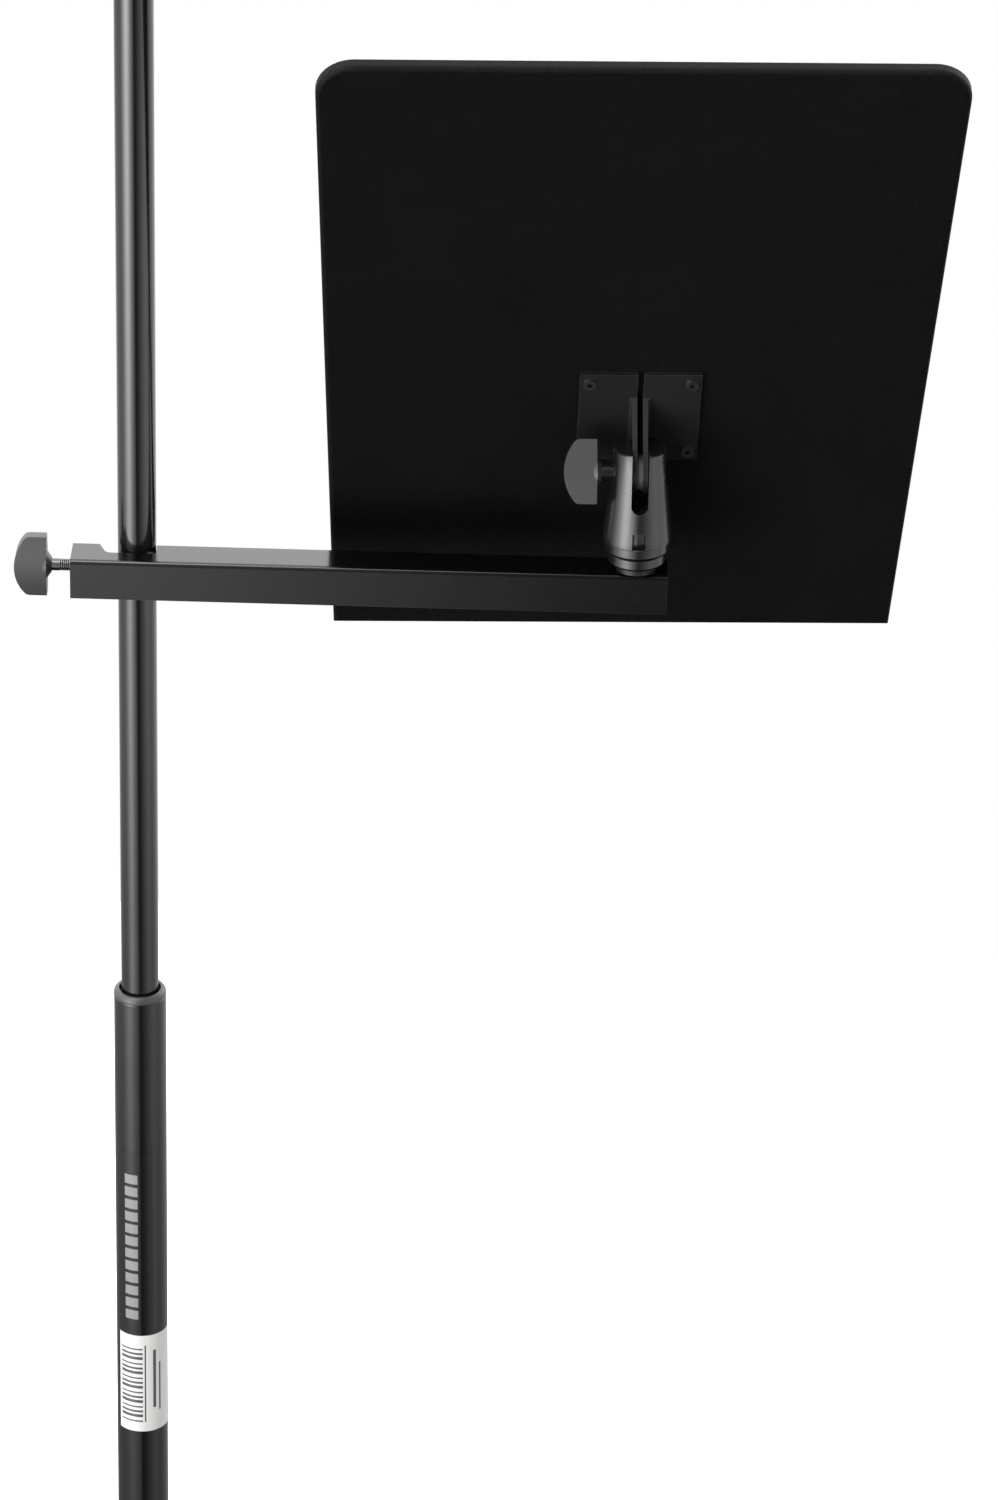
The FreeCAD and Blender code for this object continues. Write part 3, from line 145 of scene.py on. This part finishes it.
class PlasticSettings(bpy.types.PropertyGroup):
    knob_colour: colour_setting("Knobs", "Colour of the moulded knobs", (0.030, 0.030, 0.030))
    collar_colour: colour_setting("Collar", "Colour of the moulded collar", (0.03, 0.03, 0.03))
    edge_round: length("Knob edge", "Rounding of the knobs' edges", 0.0007)


class StudioSettings(bpy.types.PropertyGroup):
    floor_colour: colour_setting("Floor", "Colour of the studio floor", (0.92, 0.92, 0.92))
    floor_radius: length("Floor radius", "Radius of the studio floor", 1.6)
    lens: FloatProperty(name="Lens", description="Focal length of the camera", default=151.2,
                        min=20.0, max=400.0, unit="CAMERA")


# ---------------------------------------------------------------- node helpers

def group_with(name, inputs, outputs):
    """A new shader node group with named number, colour or vector sockets."""
    tree = bpy.data.node_groups.new(name, "ShaderNodeTree")
    for label, kind, default in inputs:
        socket = tree.interface.new_socket(name=label, in_out="INPUT", socket_type=kind)
        if default is not None:
            socket.default_value = default
    for label, kind in outputs:
        tree.interface.new_socket(name=label, in_out="OUTPUT", socket_type=kind)
    return tree, tree.nodes.new("NodeGroupInput"), tree.nodes.new("NodeGroupOutput")


def join(tree, source, target):
    """Links two sockets."""
    tree.links.new(source, target)


def maths(tree, operation, first, second=None, clamp=False):
    """A Math node on sockets or numbers, and its result."""
    node = tree.nodes.new("ShaderNodeMath")
    node.operation = operation
    node.use_clamp = clamp
    for socket, value in zip(node.inputs, (first, second)):
        if value is None:
            continue
        if isinstance(value, (int, float)):
            socket.default_value = value
        else:
            join(tree, value, socket)
    return node.outputs[0]


def noise(tree, vector, scale, detail, roughness):
    """A Noise Texture's factor."""
    node = tree.nodes.new("ShaderNodeTexNoise")
    join(tree, vector, node.inputs["Vector"])
    for label, value in (("Scale", scale), ("Detail", detail), ("Roughness", roughness)):
        if isinstance(value, (int, float)):
            node.inputs[label].default_value = value
        else:
            join(tree, value, node.inputs[label])
    return node.outputs[0]


def blend(tree, factor, low, high):
    """A colour mix by a factor; low and high are sockets or colours."""
    node = tree.nodes.new("ShaderNodeMix")
    node.data_type = "RGBA"
    join(tree, factor, node.inputs["Factor"])
    for label, value in (("A", low), ("B", high)):
        socket = next(s for s in node.inputs if s.name == label and s.type == "RGBA")
        if isinstance(value, tuple):
            socket.default_value = (*value, 1.0)
        else:
            join(tree, value, socket)
    return next(s for s in node.outputs if s.type == "RGBA")


def spread(tree, value, low, high, to_low, to_high, smooth=False):
    """A Map Range of a socket."""
    node = tree.nodes.new("ShaderNodeMapRange")
    node.interpolation_type = "SMOOTHSTEP" if smooth else "LINEAR"
    join(tree, value, node.inputs["Value"])
    for label, number in (("From Min", low), ("From Max", high), ("To Min", to_low), ("To Max", to_high)):
        if isinstance(number, (int, float)):
            node.inputs[label].default_value = number
        else:
            join(tree, number, node.inputs[label])
    return node.outputs[0]


def build_surface_group():
    """Colour and roughness that drift over a surface, with a fine grain for the bump."""
    tree, source, target = group_with("Surface drift", [
        ("Vector", "NodeSocketVector", None),
        ("Colour", "NodeSocketColor", (0.5, 0.5, 0.5, 1.0)),
        ("Drift", "NodeSocketFloat", 0.1),
        ("Drift Scale", "NodeSocketFloat", 20.0),
        ("Grain Scale", "NodeSocketFloat", 900.0),
        ("Roughness", "NodeSocketFloat", 0.4),
        ("Roughness Drift", "NodeSocketFloat", 0.1),
    ], [
        ("Colour", "NodeSocketColor"),
        ("Roughness", "NodeSocketFloat"),
        ("Height", "NodeSocketFloat"),
    ])
    slow = noise(tree, source.outputs["Vector"], source.outputs["Drift Scale"], 4.0, 0.55)
    fine = noise(tree, source.outputs["Vector"], source.outputs["Grain Scale"], 3.0, 0.6)
    centred = maths(tree, "SUBTRACT", slow, 0.5)
    gain = maths(tree, "ADD", 1.0, maths(tree, "MULTIPLY", centred, source.outputs["Drift"]))
    scaled = tree.nodes.new("ShaderNodeVectorMath")
    scaled.operation = "SCALE"
    join(tree, source.outputs["Colour"], scaled.inputs[0])
    join(tree, gain, scaled.inputs["Scale"])
    join(tree, scaled.outputs[0], target.inputs["Colour"])
    rough = maths(tree, "MULTIPLY", maths(tree, "SUBTRACT", fine, 0.5), source.outputs["Roughness Drift"])
    slow_rough = maths(tree, "MULTIPLY", centred, source.outputs["Roughness Drift"])
    total = maths(tree, "ADD", maths(tree, "ADD", rough, slow_rough), source.outputs["Roughness"], clamp=True)
    join(tree, total, target.inputs["Roughness"])
    join(tree, fine, target.inputs["Height"])
    return tree


def build_edge_group():
    """A mask of the edges that stand proud: partly where plating and paint wear thin, partly a painted edge highlight.
    """
    tree, source, target = group_with("Rubbed edges", [
        ("Vector", "NodeSocketVector", None),
        ("Width", "NodeSocketFloat", 0.0006),
        ("Breakup Scale", "NodeSocketFloat", 300.0),
        ("Amount", "NodeSocketFloat", 1.0),
    ], [("Mask", "NodeSocketFloat")])
    soft = tree.nodes.new("ShaderNodeBevel")
    soft.samples = 6
    join(tree, source.outputs["Width"], soft.inputs["Radius"])
    plain = tree.nodes.new("ShaderNodeNewGeometry")
    dot = tree.nodes.new("ShaderNodeVectorMath")
    dot.operation = "DOT_PRODUCT"
    join(tree, soft.outputs[0], dot.inputs[0])
    join(tree, plain.outputs["Normal"], dot.inputs[1])
    turn = maths(tree, "SUBTRACT", 1.0, dot.outputs["Value"])
    # Every proud edge gets lighter here: partly wear, partly a painted edge highlight.
    rub_and_highlight = spread(tree, turn, 0.02, 0.22, 0.0, 1.0)
    broken = noise(tree, source.outputs["Vector"], source.outputs["Breakup Scale"], 3.0, 0.6)
    broken = spread(tree, broken, 0.35, 0.6, 0.25, 1.0)
    mask = maths(tree, "MULTIPLY", maths(tree, "MULTIPLY", rub_and_highlight, broken), source.outputs["Amount"], clamp=True)
    join(tree, mask, target.inputs["Mask"])
    return tree


def build_streak_group():
    """Fine drawing lines along one axis, as on drawn tube and turned steel."""
    tree, source, target = group_with("Drawn lines", [
        ("Vector", "NodeSocketVector", None),
        ("Stretch", "NodeSocketVector", (900.0, 900.0, 8.0)),
    ], [("Lines", "NodeSocketFloat")])
    scaled = tree.nodes.new("ShaderNodeVectorMath")
    scaled.operation = "MULTIPLY"
    join(tree, source.outputs["Vector"], scaled.inputs[0])
    join(tree, source.outputs["Stretch"], scaled.inputs[1])
    join(tree, noise(tree, scaled.outputs[0], 1.0, 3.0, 0.65), target.inputs["Lines"])
    return tree


def build_speck_group():
    """Small scattered specks, as in plating and in coarse paint."""
    tree, source, target = group_with("Specks", [
        ("Vector", "NodeSocketVector", None),
        ("Scale", "NodeSocketFloat", 400.0),
        ("Size", "NodeSocketFloat", 0.12),
        ("Share", "NodeSocketFloat", 0.3),
    ], [("Mask", "NodeSocketFloat")])
    cells = tree.nodes.new("ShaderNodeTexVoronoi")
    join(tree, source.outputs["Vector"], cells.inputs["Vector"])
    join(tree, source.outputs["Scale"], cells.inputs["Scale"])
    near = maths(tree, "LESS_THAN", cells.outputs["Distance"], source.outputs["Size"])
    split = tree.nodes.new("ShaderNodeSeparateColor")
    join(tree, cells.outputs["Color"], split.inputs[0])
    some = maths(tree, "LESS_THAN", split.outputs[0], source.outputs["Share"])
    join(tree, maths(tree, "MULTIPLY", near, some), target.inputs["Mask"])
    return tree


GROUPS = {}
MATERIALS = {}


def shared(name):
    """One of the shared node groups, built the first time it is asked for."""
    builders = {"surface": build_surface_group, "edges": build_edge_group,
                "streaks": build_streak_group, "specks": build_speck_group}
    if name not in GROUPS:
        GROUPS[name] = builders[name]()
    return GROUPS[name]


class Finish:
    """One material: a Principled shader with object coordinates and the shared groups."""

    def __init__(self, name):
        self.material = bpy.data.materials.new(name)
        self.material.use_nodes = True
        self.tree = self.material.node_tree
        self.shader = self.tree.nodes["Principled BSDF"]
        self.place = self.tree.nodes.new("ShaderNodeTexCoord").outputs["Object"]
        MATERIALS[name] = self.material

    def group(self, name, **values):
        """Places a shared group; values are sockets, numbers, colours or vectors."""
        node = self.tree.nodes.new("ShaderNodeGroup")
        node.node_tree = shared(name)
        join(self.tree, self.place, node.inputs["Vector"])
        for label, value in values.items():
            socket = node.inputs[label.replace("_", " ")]
            if isinstance(value, bpy.types.NodeSocket):
                join(self.tree, value, socket)
            elif socket.type == "RGBA":
                socket.default_value = (*value, 1.0)
            else:
                socket.default_value = value
        return node

    def set(self, **values):
        """Sets plain values on the shader's own sockets."""
        for label, value in values.items():
            self.shader.inputs[label.replace("_", " ")].default_value = value

    def feed(self, label, socket):
        """Links a socket to the shader."""
        join(self.tree, socket, self.shader.inputs[label])

    def bump(self, height, strength, distance):
        """Feeds a height to the shader's normal."""
        node = self.tree.nodes.new("ShaderNodeBump")
        node.inputs["Strength"].default_value = strength
        node.inputs["Distance"].default_value = distance
        join(self.tree, height, node.inputs["Height"])
        self.feed("Normal", node.outputs[0])

    def give(self, *names):
        """Puts the material on CAD nodes or on new pieces."""
        for item in names:
            piece = NODES[item] if isinstance(item, str) else item
            piece.data.materials.clear()
            piece.data.materials.append(self.material)


def plated(name, colour, roughness, stretch, drift=0.06, bump=0.04, edge=0.15):
    """Bright plated steel with drawing lines, faint pits, and edges painted pale: partly worn plating, partly a
    painted edge highlight.
    """
    finish = Finish(name)
    surface = finish.group("surface", Colour=tuple(colour), Drift=drift, Drift_Scale=14.0,
                           Grain_Scale=700.0, Roughness=roughness, Roughness_Drift=0.08)
    lines = finish.group("streaks", Stretch=stretch).outputs[0]
    pits = finish.group("specks", Scale=260.0, Size=0.07, Share=0.05).outputs[0]
    edges = finish.group("edges", Width=0.0005, Amount=edge).outputs[0]
    tone = blend(finish.tree, pits, surface.outputs["Colour"], (0.12, 0.12, 0.12))
    # Edges blended pale: partly worn plating, partly a painted edge highlight.
    tone = blend(finish.tree, edges, tone, (0.82, 0.82, 0.82))
    finish.feed("Base Color", tone)
    rough = spread(finish.tree, lines, 0.3, 0.7, -0.03, 0.03)
    finish.feed("Roughness", maths(finish.tree, "ADD", surface.outputs["Roughness"], rough, clamp=True))
    finish.set(Metallic=1.0)
    finish.bump(lines, bump, 0.0002)
    return finish


def glossed(name, colour, roughness, wave=0.03, edge=0.25):
    """Gloss paint on steel: a slight orange peel, a few dust nibs, and lighter edges, partly where the paint runs thin
    and partly a painted edge highlight.
    """
    finish = Finish(name)
    surface = finish.group("surface", Colour=tuple(colour), Drift=0.3, Drift_Scale=25.0,
                           Grain_Scale=260.0, Roughness=roughness, Roughness_Drift=0.06)
    nibs = finish.group("specks", Scale=220.0, Size=0.06, Share=0.04).outputs[0]
    edges = finish.group("edges", Width=0.0005, Amount=edge).outputs[0]
    tone = blend(finish.tree, nibs, surface.outputs["Colour"], (0.001, 0.001, 0.001))
    # Edges blended lighter: partly thin paint, partly a painted edge highlight.
    finish.feed("Base Color", blend(finish.tree, edges, tone, (0.09, 0.09, 0.09)))
    finish.feed("Roughness", surface.outputs["Roughness"])
    height = maths(finish.tree, "ADD", surface.outputs["Height"], maths(finish.tree, "MULTIPLY", nibs, 2.0))
    finish.bump(height, wave, 0.0002)
    return finish


def painted(name, colour, roughness, grain, bump, speck=0.0, sheen=0.5):
    """Powder paint with a fine texture, a few lighter specks, and lighter edges: partly rubbed paint, partly a painted
    edge highlight.
    """
    finish = Finish(name)
    surface = finish.group("surface", Colour=tuple(colour), Drift=0.25, Drift_Scale=30.0,
                           Grain_Scale=grain, Roughness=roughness, Roughness_Drift=0.22)
    edges = finish.group("edges", Width=0.0005, Amount=0.35).outputs[0]
    # Edges blended lighter: partly rubbed paint, partly a painted edge highlight.
    tone = blend(finish.tree, edges, surface.outputs["Colour"], (0.10, 0.10, 0.10))
    if speck:
        dots = finish.group("specks", Scale=grain * 0.8, Size=0.3, Share=speck).outputs[0]
        tone = blend(finish.tree, dots, tone, (0.008, 0.008, 0.008))
    finish.feed("Base Color", tone)
    finish.feed("Roughness", surface.outputs["Roughness"])
    finish.set(Specular_IOR_Level=sheen)
    finish.bump(surface.outputs["Height"], bump, 0.0004)
    return finish


def moulded(name, colour, roughness, grain=1600.0, bump=0.12):
    """Moulded plastic with a fine spark-eroded grain and paler edges: partly handled wear, partly a painted edge
    highlight.
    """
    finish = Finish(name)
    surface = finish.group("surface", Colour=tuple(colour), Drift=0.12, Drift_Scale=60.0,
                           Grain_Scale=grain, Roughness=roughness, Roughness_Drift=0.12)
    edges = finish.group("edges", Width=0.0007, Amount=0.3).outputs[0]
    # Edges blended paler: partly handled wear, partly a painted edge highlight.
    lighter = tuple(min(1.0, c * 1.7) for c in colour)
    finish.feed("Base Color", blend(finish.tree, edges, surface.outputs["Colour"], lighter))
    finish.feed("Roughness", surface.outputs["Roughness"])
    finish.bump(surface.outputs["Height"], bump, 0.0002)
    return finish


# ---------------------------------------------------------------- modelling helpers

def only(obj):
    """Makes one object the only selected one, and the active one."""
    bpy.ops.object.select_all(action="DESELECT")
    obj.select_set(True)
    bpy.context.view_layer.objects.active = obj


def softened(node, width, segments=3, angle=30.0):
    """A copy of a CAD node with its flat faces merged and its edges rounded, in its place."""
    source = NODES[node]
    copy = source.copy()
    copy.data = source.data.copy()
    copy.name = node + ".soft"
    copy.parent = None
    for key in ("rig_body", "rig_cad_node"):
        if key in copy:
            del copy[key]
    bpy.context.scene.collection.objects.link(copy)
    only(copy)
    bpy.ops.object.mode_set(mode="EDIT")
    bpy.ops.mesh.select_all(action="SELECT")
    bpy.ops.mesh.remove_doubles(threshold=0.000002)
    bpy.ops.mesh.dissolve_limited(angle_limit=math.radians(0.6))
    bpy.ops.object.mode_set(mode="OBJECT")
    modifier = copy.modifiers.new("round", "BEVEL")
    modifier.width = width
    modifier.segments = segments
    modifier.limit_method = "ANGLE"
    modifier.angle_limit = math.radians(angle)
    modifier.harden_normals = False
    bpy.ops.object.modifier_apply(modifier=modifier.name)
    bpy.ops.object.shade_smooth_by_angle(angle=math.radians(35.0))
    weighted = copy.modifiers.new("flat faces stay flat", "WEIGHTED_NORMAL")
    weighted.weight = 100
    weighted.keep_sharp = True
    bpy.ops.object.modifier_apply(modifier=weighted.name)
    return copy


def in_place_of(obj, node):
    """Lets a new piece stand for a CAD node, on that node's body."""
    body = body_of(NODES[node])
    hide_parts(node)
    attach(obj, body if isinstance(body, str) else body[0])
    return obj


# ---------------------------------------------------------------- operators

class MUSICSTAND_OT_base(bpy.types.Operator):
    """Finish the cast base, its rubber sheet and the hidden parts that hold the pole"""
    bl_idname = "musicstand.base"
    bl_label = "Base"

    def execute(self, context):
        paint = context.scene.stand_matte
        painted("Base paint", paint.base_colour, 0.5, 500.0, 0.5).give("base_casting")
        moulded("Base rubber", (0.02, 0.02, 0.02), 0.75).give("base_pad")
        moulded("Washer plastic", (0.03, 0.03, 0.03), 0.45).give("foot_washer")
        gloss_set = context.scene.stand_gloss
        plated("Zinc steel", gloss_set.steel_colour, 0.3, (300.0, 300.0, 300.0), edge=0.4).give(
            "foot_nut", "tube_foot", "shaft_foot", "clutch_stop", "shaft_tip",
            "clamp_nut", "clamp_pad", "clamp_screw", "arm_stud", "stud_nut",
            "head_insert", "tilt_nut", "tilt_screw")
        return {"FINISHED"}


class MUSICSTAND_OT_pole(bpy.types.Operator):
    """Finish the tubes, the collar, the clutch and the labels"""
    bl_idname = "musicstand.pole"
    bl_label = "Pole"

    def execute(self, context):
        gloss_set = context.scene.stand_gloss
        plastic = context.scene.stand_plastic
        glossed("Tube paint", gloss_set.tube_colour, gloss_set.tube_roughness).give("lower_tube", "upper_shaft")
        moulded("Collar plastic", plastic.collar_colour, 0.38).give("collar_ring")
        moulded("Clutch nylon", (0.04, 0.04, 0.04), 0.5).give(
            "guide_bush", "clutch_sleeve", "clutch_cone", "bracket_spacer")
        self.label("tube_decal", (0.004, 0.004, 0.004), 0.14, (0.16, 0.16, 0.16), DECAL_BARS)
        self.label("tube_sticker", (0.45, 0.45, 0.44), 0.35, (0.04, 0.04, 0.04), STICKER_BARS)
        return {"FINISHED"}

    def label(self, node, colour, roughness, ink, bars):
        """A printed film with plain bars, placed by shares of its width and height."""
        low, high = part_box(node)
        finish = Finish(node.replace("_", " ").capitalize())
        tree = finish.tree
        surface = finish.group("surface", Colour=colour, Drift=0.1, Drift_Scale=80.0,
                               Grain_Scale=1500.0, Roughness=roughness, Roughness_Drift=0.08)
        split = tree.nodes.new("ShaderNodeSeparateXYZ")
        join(tree, finish.place, split.inputs[0])
        across = spread(tree, split.outputs[0], low.x, high.x, 1.0, 0.0)
        along = spread(tree, split.outputs[2], low.z, high.z, 0.0, 1.0)
        tone = surface.outputs["Colour"]
        for left, right, bottom, top in bars:
            mask = None
            for value, start, end in ((across, left, right), (along, bottom, top)):
                for operation, limit in (("GREATER_THAN", start), ("LESS_THAN", end)):
                    side = maths(tree, operation, value, limit)
                    mask = side if mask is None else maths(tree, "MULTIPLY", mask, side)
            tone = blend(tree, mask, tone, ink)
        finish.feed("Base Color", tone)
        finish.feed("Roughness", surface.outputs["Roughness"])
        finish.give(node)


class MUSICSTAND_OT_arm(bpy.types.Operator):
    """Finish the channel arm and round its cut edges"""
    bl_idname = "musicstand.arm"
    bl_label = "Arm"

    def execute(self, context):
        gloss_set = context.scene.stand_gloss
        arm = in_place_of(softened("arm_channel", 0.00018, 2), "arm_channel")
        glossed("Arm paint", gloss_set.arm_colour, gloss_set.arm_roughness).give(arm)
        return {"FINISHED"}


class MUSICSTAND_OT_knobs(bpy.types.Operator):
    """Round off and finish the two wing knobs"""
    bl_idname = "musicstand.knobs"
    bl_label = "Knobs"

    def execute(self, context):
        plastic = context.scene.stand_plastic
        finish = moulded("Knob plastic", plastic.knob_colour, 0.42)
        for node in ("clamp_knob", "tilt_knob"):
            knob = in_place_of(softened(node, plastic.edge_round), node)
            finish.give(knob)
        return {"FINISHED"}


class MUSICSTAND_OT_head(bpy.types.Operator):
    """Finish the swivel head, its rings and washers"""
    bl_idname = "musicstand.head"
    bl_label = "Head"

    def execute(self, context):
        gloss_set = context.scene.stand_gloss
        gloss = glossed("Head paint", gloss_set.head_colour, gloss_set.head_roughness)
        gloss.give(in_place_of(softened("head_body", 0.00025), "head_body"))
        gloss.give("lock_ring", "knurled_ring")
        gloss.give("tilt_washer")
        return {"FINISHED"}


class MUSICSTAND_OT_desk(bpy.types.Operator):
    """Finish the desk, its bracket and its rivets"""
    bl_idname = "musicstand.desk"
    bl_label = "Desk"

    def execute(self, context):
        paint = context.scene.stand_matte
        painted("Desk paint", paint.desk_colour, paint.desk_roughness, 1500.0, 0.8, speck=0.12,
                sheen=0.1).give(
            "desk_panel")
        painted("Bracket paint", paint.bracket_colour, 0.42, 1200.0, 0.4, sheen=0.3).give(
            "bracket_pole_side", "bracket_far_side", "stud_washer")
        plated("Rivet aluminium", (0.16, 0.16, 0.16), 0.35, (300.0, 300.0, 300.0), edge=0.3).give(
            "desk_rivets")
        return {"FINISHED"}


class MUSICSTAND_OT_studio(bpy.types.Operator):
    """Set the floor, the lights, the surroundings and the camera"""
    bl_idname = "musicstand.studio"
    bl_label = "Studio"

    def execute(self, context):
        studio = context.scene.stand_studio
        self.floor(studio)
        self.surroundings(context.scene)
        self.camera(context.scene, studio)
        for name, place, aim, size, power in (
            ("Top light", (0.9, 0.5, 3.4), (0.0, 0.0, 1.0), 1.8, 45.0),
        ):
            self.softbox(name, place, aim, size, power)
        return {"FINISHED"}

    def floor(self, studio):
        """A round pale floor."""
        bpy.ops.object.select_all(action="DESELECT")
        bpy.ops.mesh.primitive_circle_add(vertices=96, radius=studio.floor_radius, fill_type="NGON",
                                          location=(0.0, 0.0, 0.0))
        floor = bpy.context.active_object
        floor.name = "floor"
        finish = Finish("Floor")
        surface = finish.group("surface", Colour=tuple(studio.floor_colour), Drift=0.02, Drift_Scale=2.0,
                               Grain_Scale=200.0, Roughness=0.8, Roughness_Drift=0.05)
        finish.feed("Base Color", surface.outputs["Colour"])
        finish.feed("Roughness", surface.outputs["Roughness"])
        finish.give(floor)
        floor.visible_glossy = False
        floor.visible_diffuse = False

    def softbox(self, name, place, aim, size, power):
        """A square soft light."""
        light = bpy.data.lights.new(name, "AREA")
        light.shape = "SQUARE"
        light.size = size
        light.energy = power
        lamp = bpy.data.objects.new(name, light)
        lamp.location = place
        lamp.rotation_euler = (Vector(aim) - Vector(place)).to_track_quat("-Z", "Y").to_euler()
        bpy.context.scene.collection.objects.link(lamp)

    def surroundings(self, scene):
        """White to the eye; to gloss paint, a bright backdrop, one tall lamp and a dim room in front."""
        world = bpy.data.worlds.new("Studio")
        world.use_nodes = True
        tree = world.node_tree
        tree.nodes.clear()
        way = tree.nodes.new("ShaderNodeTexCoord").outputs["Generated"]
        split = tree.nodes.new("ShaderNodeSeparateXYZ")
        join(tree, way, split.inputs[0])
        across, along, rise = split.outputs
        turn = spread(tree, maths(tree, "ARCTAN2", across, along), -math.pi, math.pi, -180.0, 180.0)
        room = self.levels(tree, turn, ROOM_LEVELS)
        lamp = maths(tree, "MULTIPLY", self.levels(tree, turn, LAMP_LEVELS), self.levels(tree, rise, LAMP_RISE))
        behind = spread(tree, along, 0.15, -0.15, 0.45, 2.2)
        above = spread(tree, rise, -0.12, 0.12, 0.0, 1.0)
        gain = maths(tree, "ADD", 1.0, maths(tree, "MULTIPLY", above, maths(tree, "SUBTRACT", behind, 1.0)))
        below = self.levels(tree, rise, FLOOR_LEVELS)
        level = maths(tree, "MULTIPLY", maths(tree, "MULTIPLY", maths(tree, "ADD", room, lamp), gain), below)
        glow = tree.nodes.new("ShaderNodeBackground")
        join(tree, level, glow.inputs["Strength"])
        plain = tree.nodes.new("ShaderNodeBackground")
        plain.inputs["Color"].default_value = (1.0, 1.0, 1.0, 1.0)
        plain.inputs["Strength"].default_value = 1.0
        glow.inputs["Color"].default_value = (1.0, 1.0, 1.0, 1.0)
        mix = tree.nodes.new("ShaderNodeMixShader")
        seen = tree.nodes.new("ShaderNodeLightPath").outputs["Is Camera Ray"]
        join(tree, seen, mix.inputs[0])
        join(tree, glow.outputs[0], mix.inputs[1])
        join(tree, plain.outputs[0], mix.inputs[2])
        out = tree.nodes.new("ShaderNodeOutputWorld")
        join(tree, mix.outputs[0], out.inputs["Surface"])
        scene.world = world
        scene.view_settings.view_transform = "Standard"

    def levels(self, tree, value, stops):
        """A brightness that runs through (value, level) stops."""
        low, high = stops[0][0], stops[-1][0]
        top = max(level for _, level in stops)
        share = spread(tree, value, low, high, 0.0, 1.0)
        ramp = tree.nodes.new("ShaderNodeValToRGB")
        join(tree, share, ramp.inputs[0])
        elements = ramp.color_ramp.elements
        for place, level in stops[1:-1]:
            elements.new((place - low) / (high - low)).color = (*[level / top] * 3, 1.0)
        for element, level in ((elements[0], stops[0][1]), (elements[-1], stops[-1][1])):
            element.color = (*[level / top] * 3, 1.0)
        return maths(tree, "MULTIPLY", ramp.outputs[0], top)

    def camera(self, scene, studio):
        """A long lens behind the desk, above the arm, with a slight roll."""
        place = Vector((-0.1728, 2.3207, ARM_TOP + 1.1152))
        aim = Vector((-0.1498, -0.0015, ARM_TOP - 0.0908))
        roll = math.radians(1.33)
        ahead = (aim - place).normalized()
        right = ahead.cross(Vector((0.0, 0.0, 1.0))).normalized()
        up = right.cross(ahead)
        turned_right = right * math.cos(roll) + up * math.sin(roll)
        turned_up = up * math.cos(roll) - right * math.sin(roll)
        lens = bpy.data.cameras.new("Camera")
        lens.lens = studio.lens
        lens.sensor_width = 36.0
        lens.clip_start = 0.05
        lens.clip_end = 60.0
        camera = bpy.data.objects.new("Camera", lens)
        rotation = Matrix((turned_right, turned_up, -ahead)).transposed()
        camera.matrix_world = Matrix.Translation(place) @ rotation.to_4x4()
        scene.collection.objects.link(camera)
        scene.camera = camera


class MUSICSTAND_PT_panel(bpy.types.Panel):
    """Lists the settings and the steps that build the stand"""
    bl_idname = "MUSICSTAND_PT_panel"
    bl_label = "Music stand"
    bl_space_type = "VIEW_3D"
    bl_region_type = "UI"
    bl_category = "Music stand"

    def draw(self, context):
        scene = context.scene
        for settings in (scene.stand_gloss, scene.stand_matte, scene.stand_plastic, scene.stand_studio):
            box = self.layout.box()
            for name in settings.__annotations__:
                box.prop(settings, name)
        for step in STEPS:
            self.layout.operator(step.bl_idname)


STEPS = (MUSICSTAND_OT_base, MUSICSTAND_OT_pole, MUSICSTAND_OT_arm, MUSICSTAND_OT_knobs,
         MUSICSTAND_OT_head, MUSICSTAND_OT_desk, MUSICSTAND_OT_studio)
SETTINGS = (("stand_gloss", GlossSettings), ("stand_matte", MatteSettings),
            ("stand_plastic", PlasticSettings), ("stand_studio", StudioSettings))


def register():
    """Makes the settings, the steps and the panel known to Blender."""
    for name, group in SETTINGS:
        bpy.utils.register_class(group)
        setattr(bpy.types.Scene, name, PointerProperty(type=group))
    for step in STEPS:
        bpy.utils.register_class(step)
    bpy.utils.register_class(MUSICSTAND_PT_panel)


def unregister():
    """Takes them out again."""
    bpy.utils.unregister_class(MUSICSTAND_PT_panel)
    for step in reversed(STEPS):
        bpy.utils.unregister_class(step)
    for name, group in reversed(SETTINGS):
        delattr(bpy.types.Scene, name)
        bpy.utils.unregister_class(group)


def main():
    """Builds the scene step by step."""
    register()
    for step in STEPS:
        area, name = step.bl_idname.split(".")
        getattr(getattr(bpy.ops, area), name)()


if __name__ == "__main__":
    main()
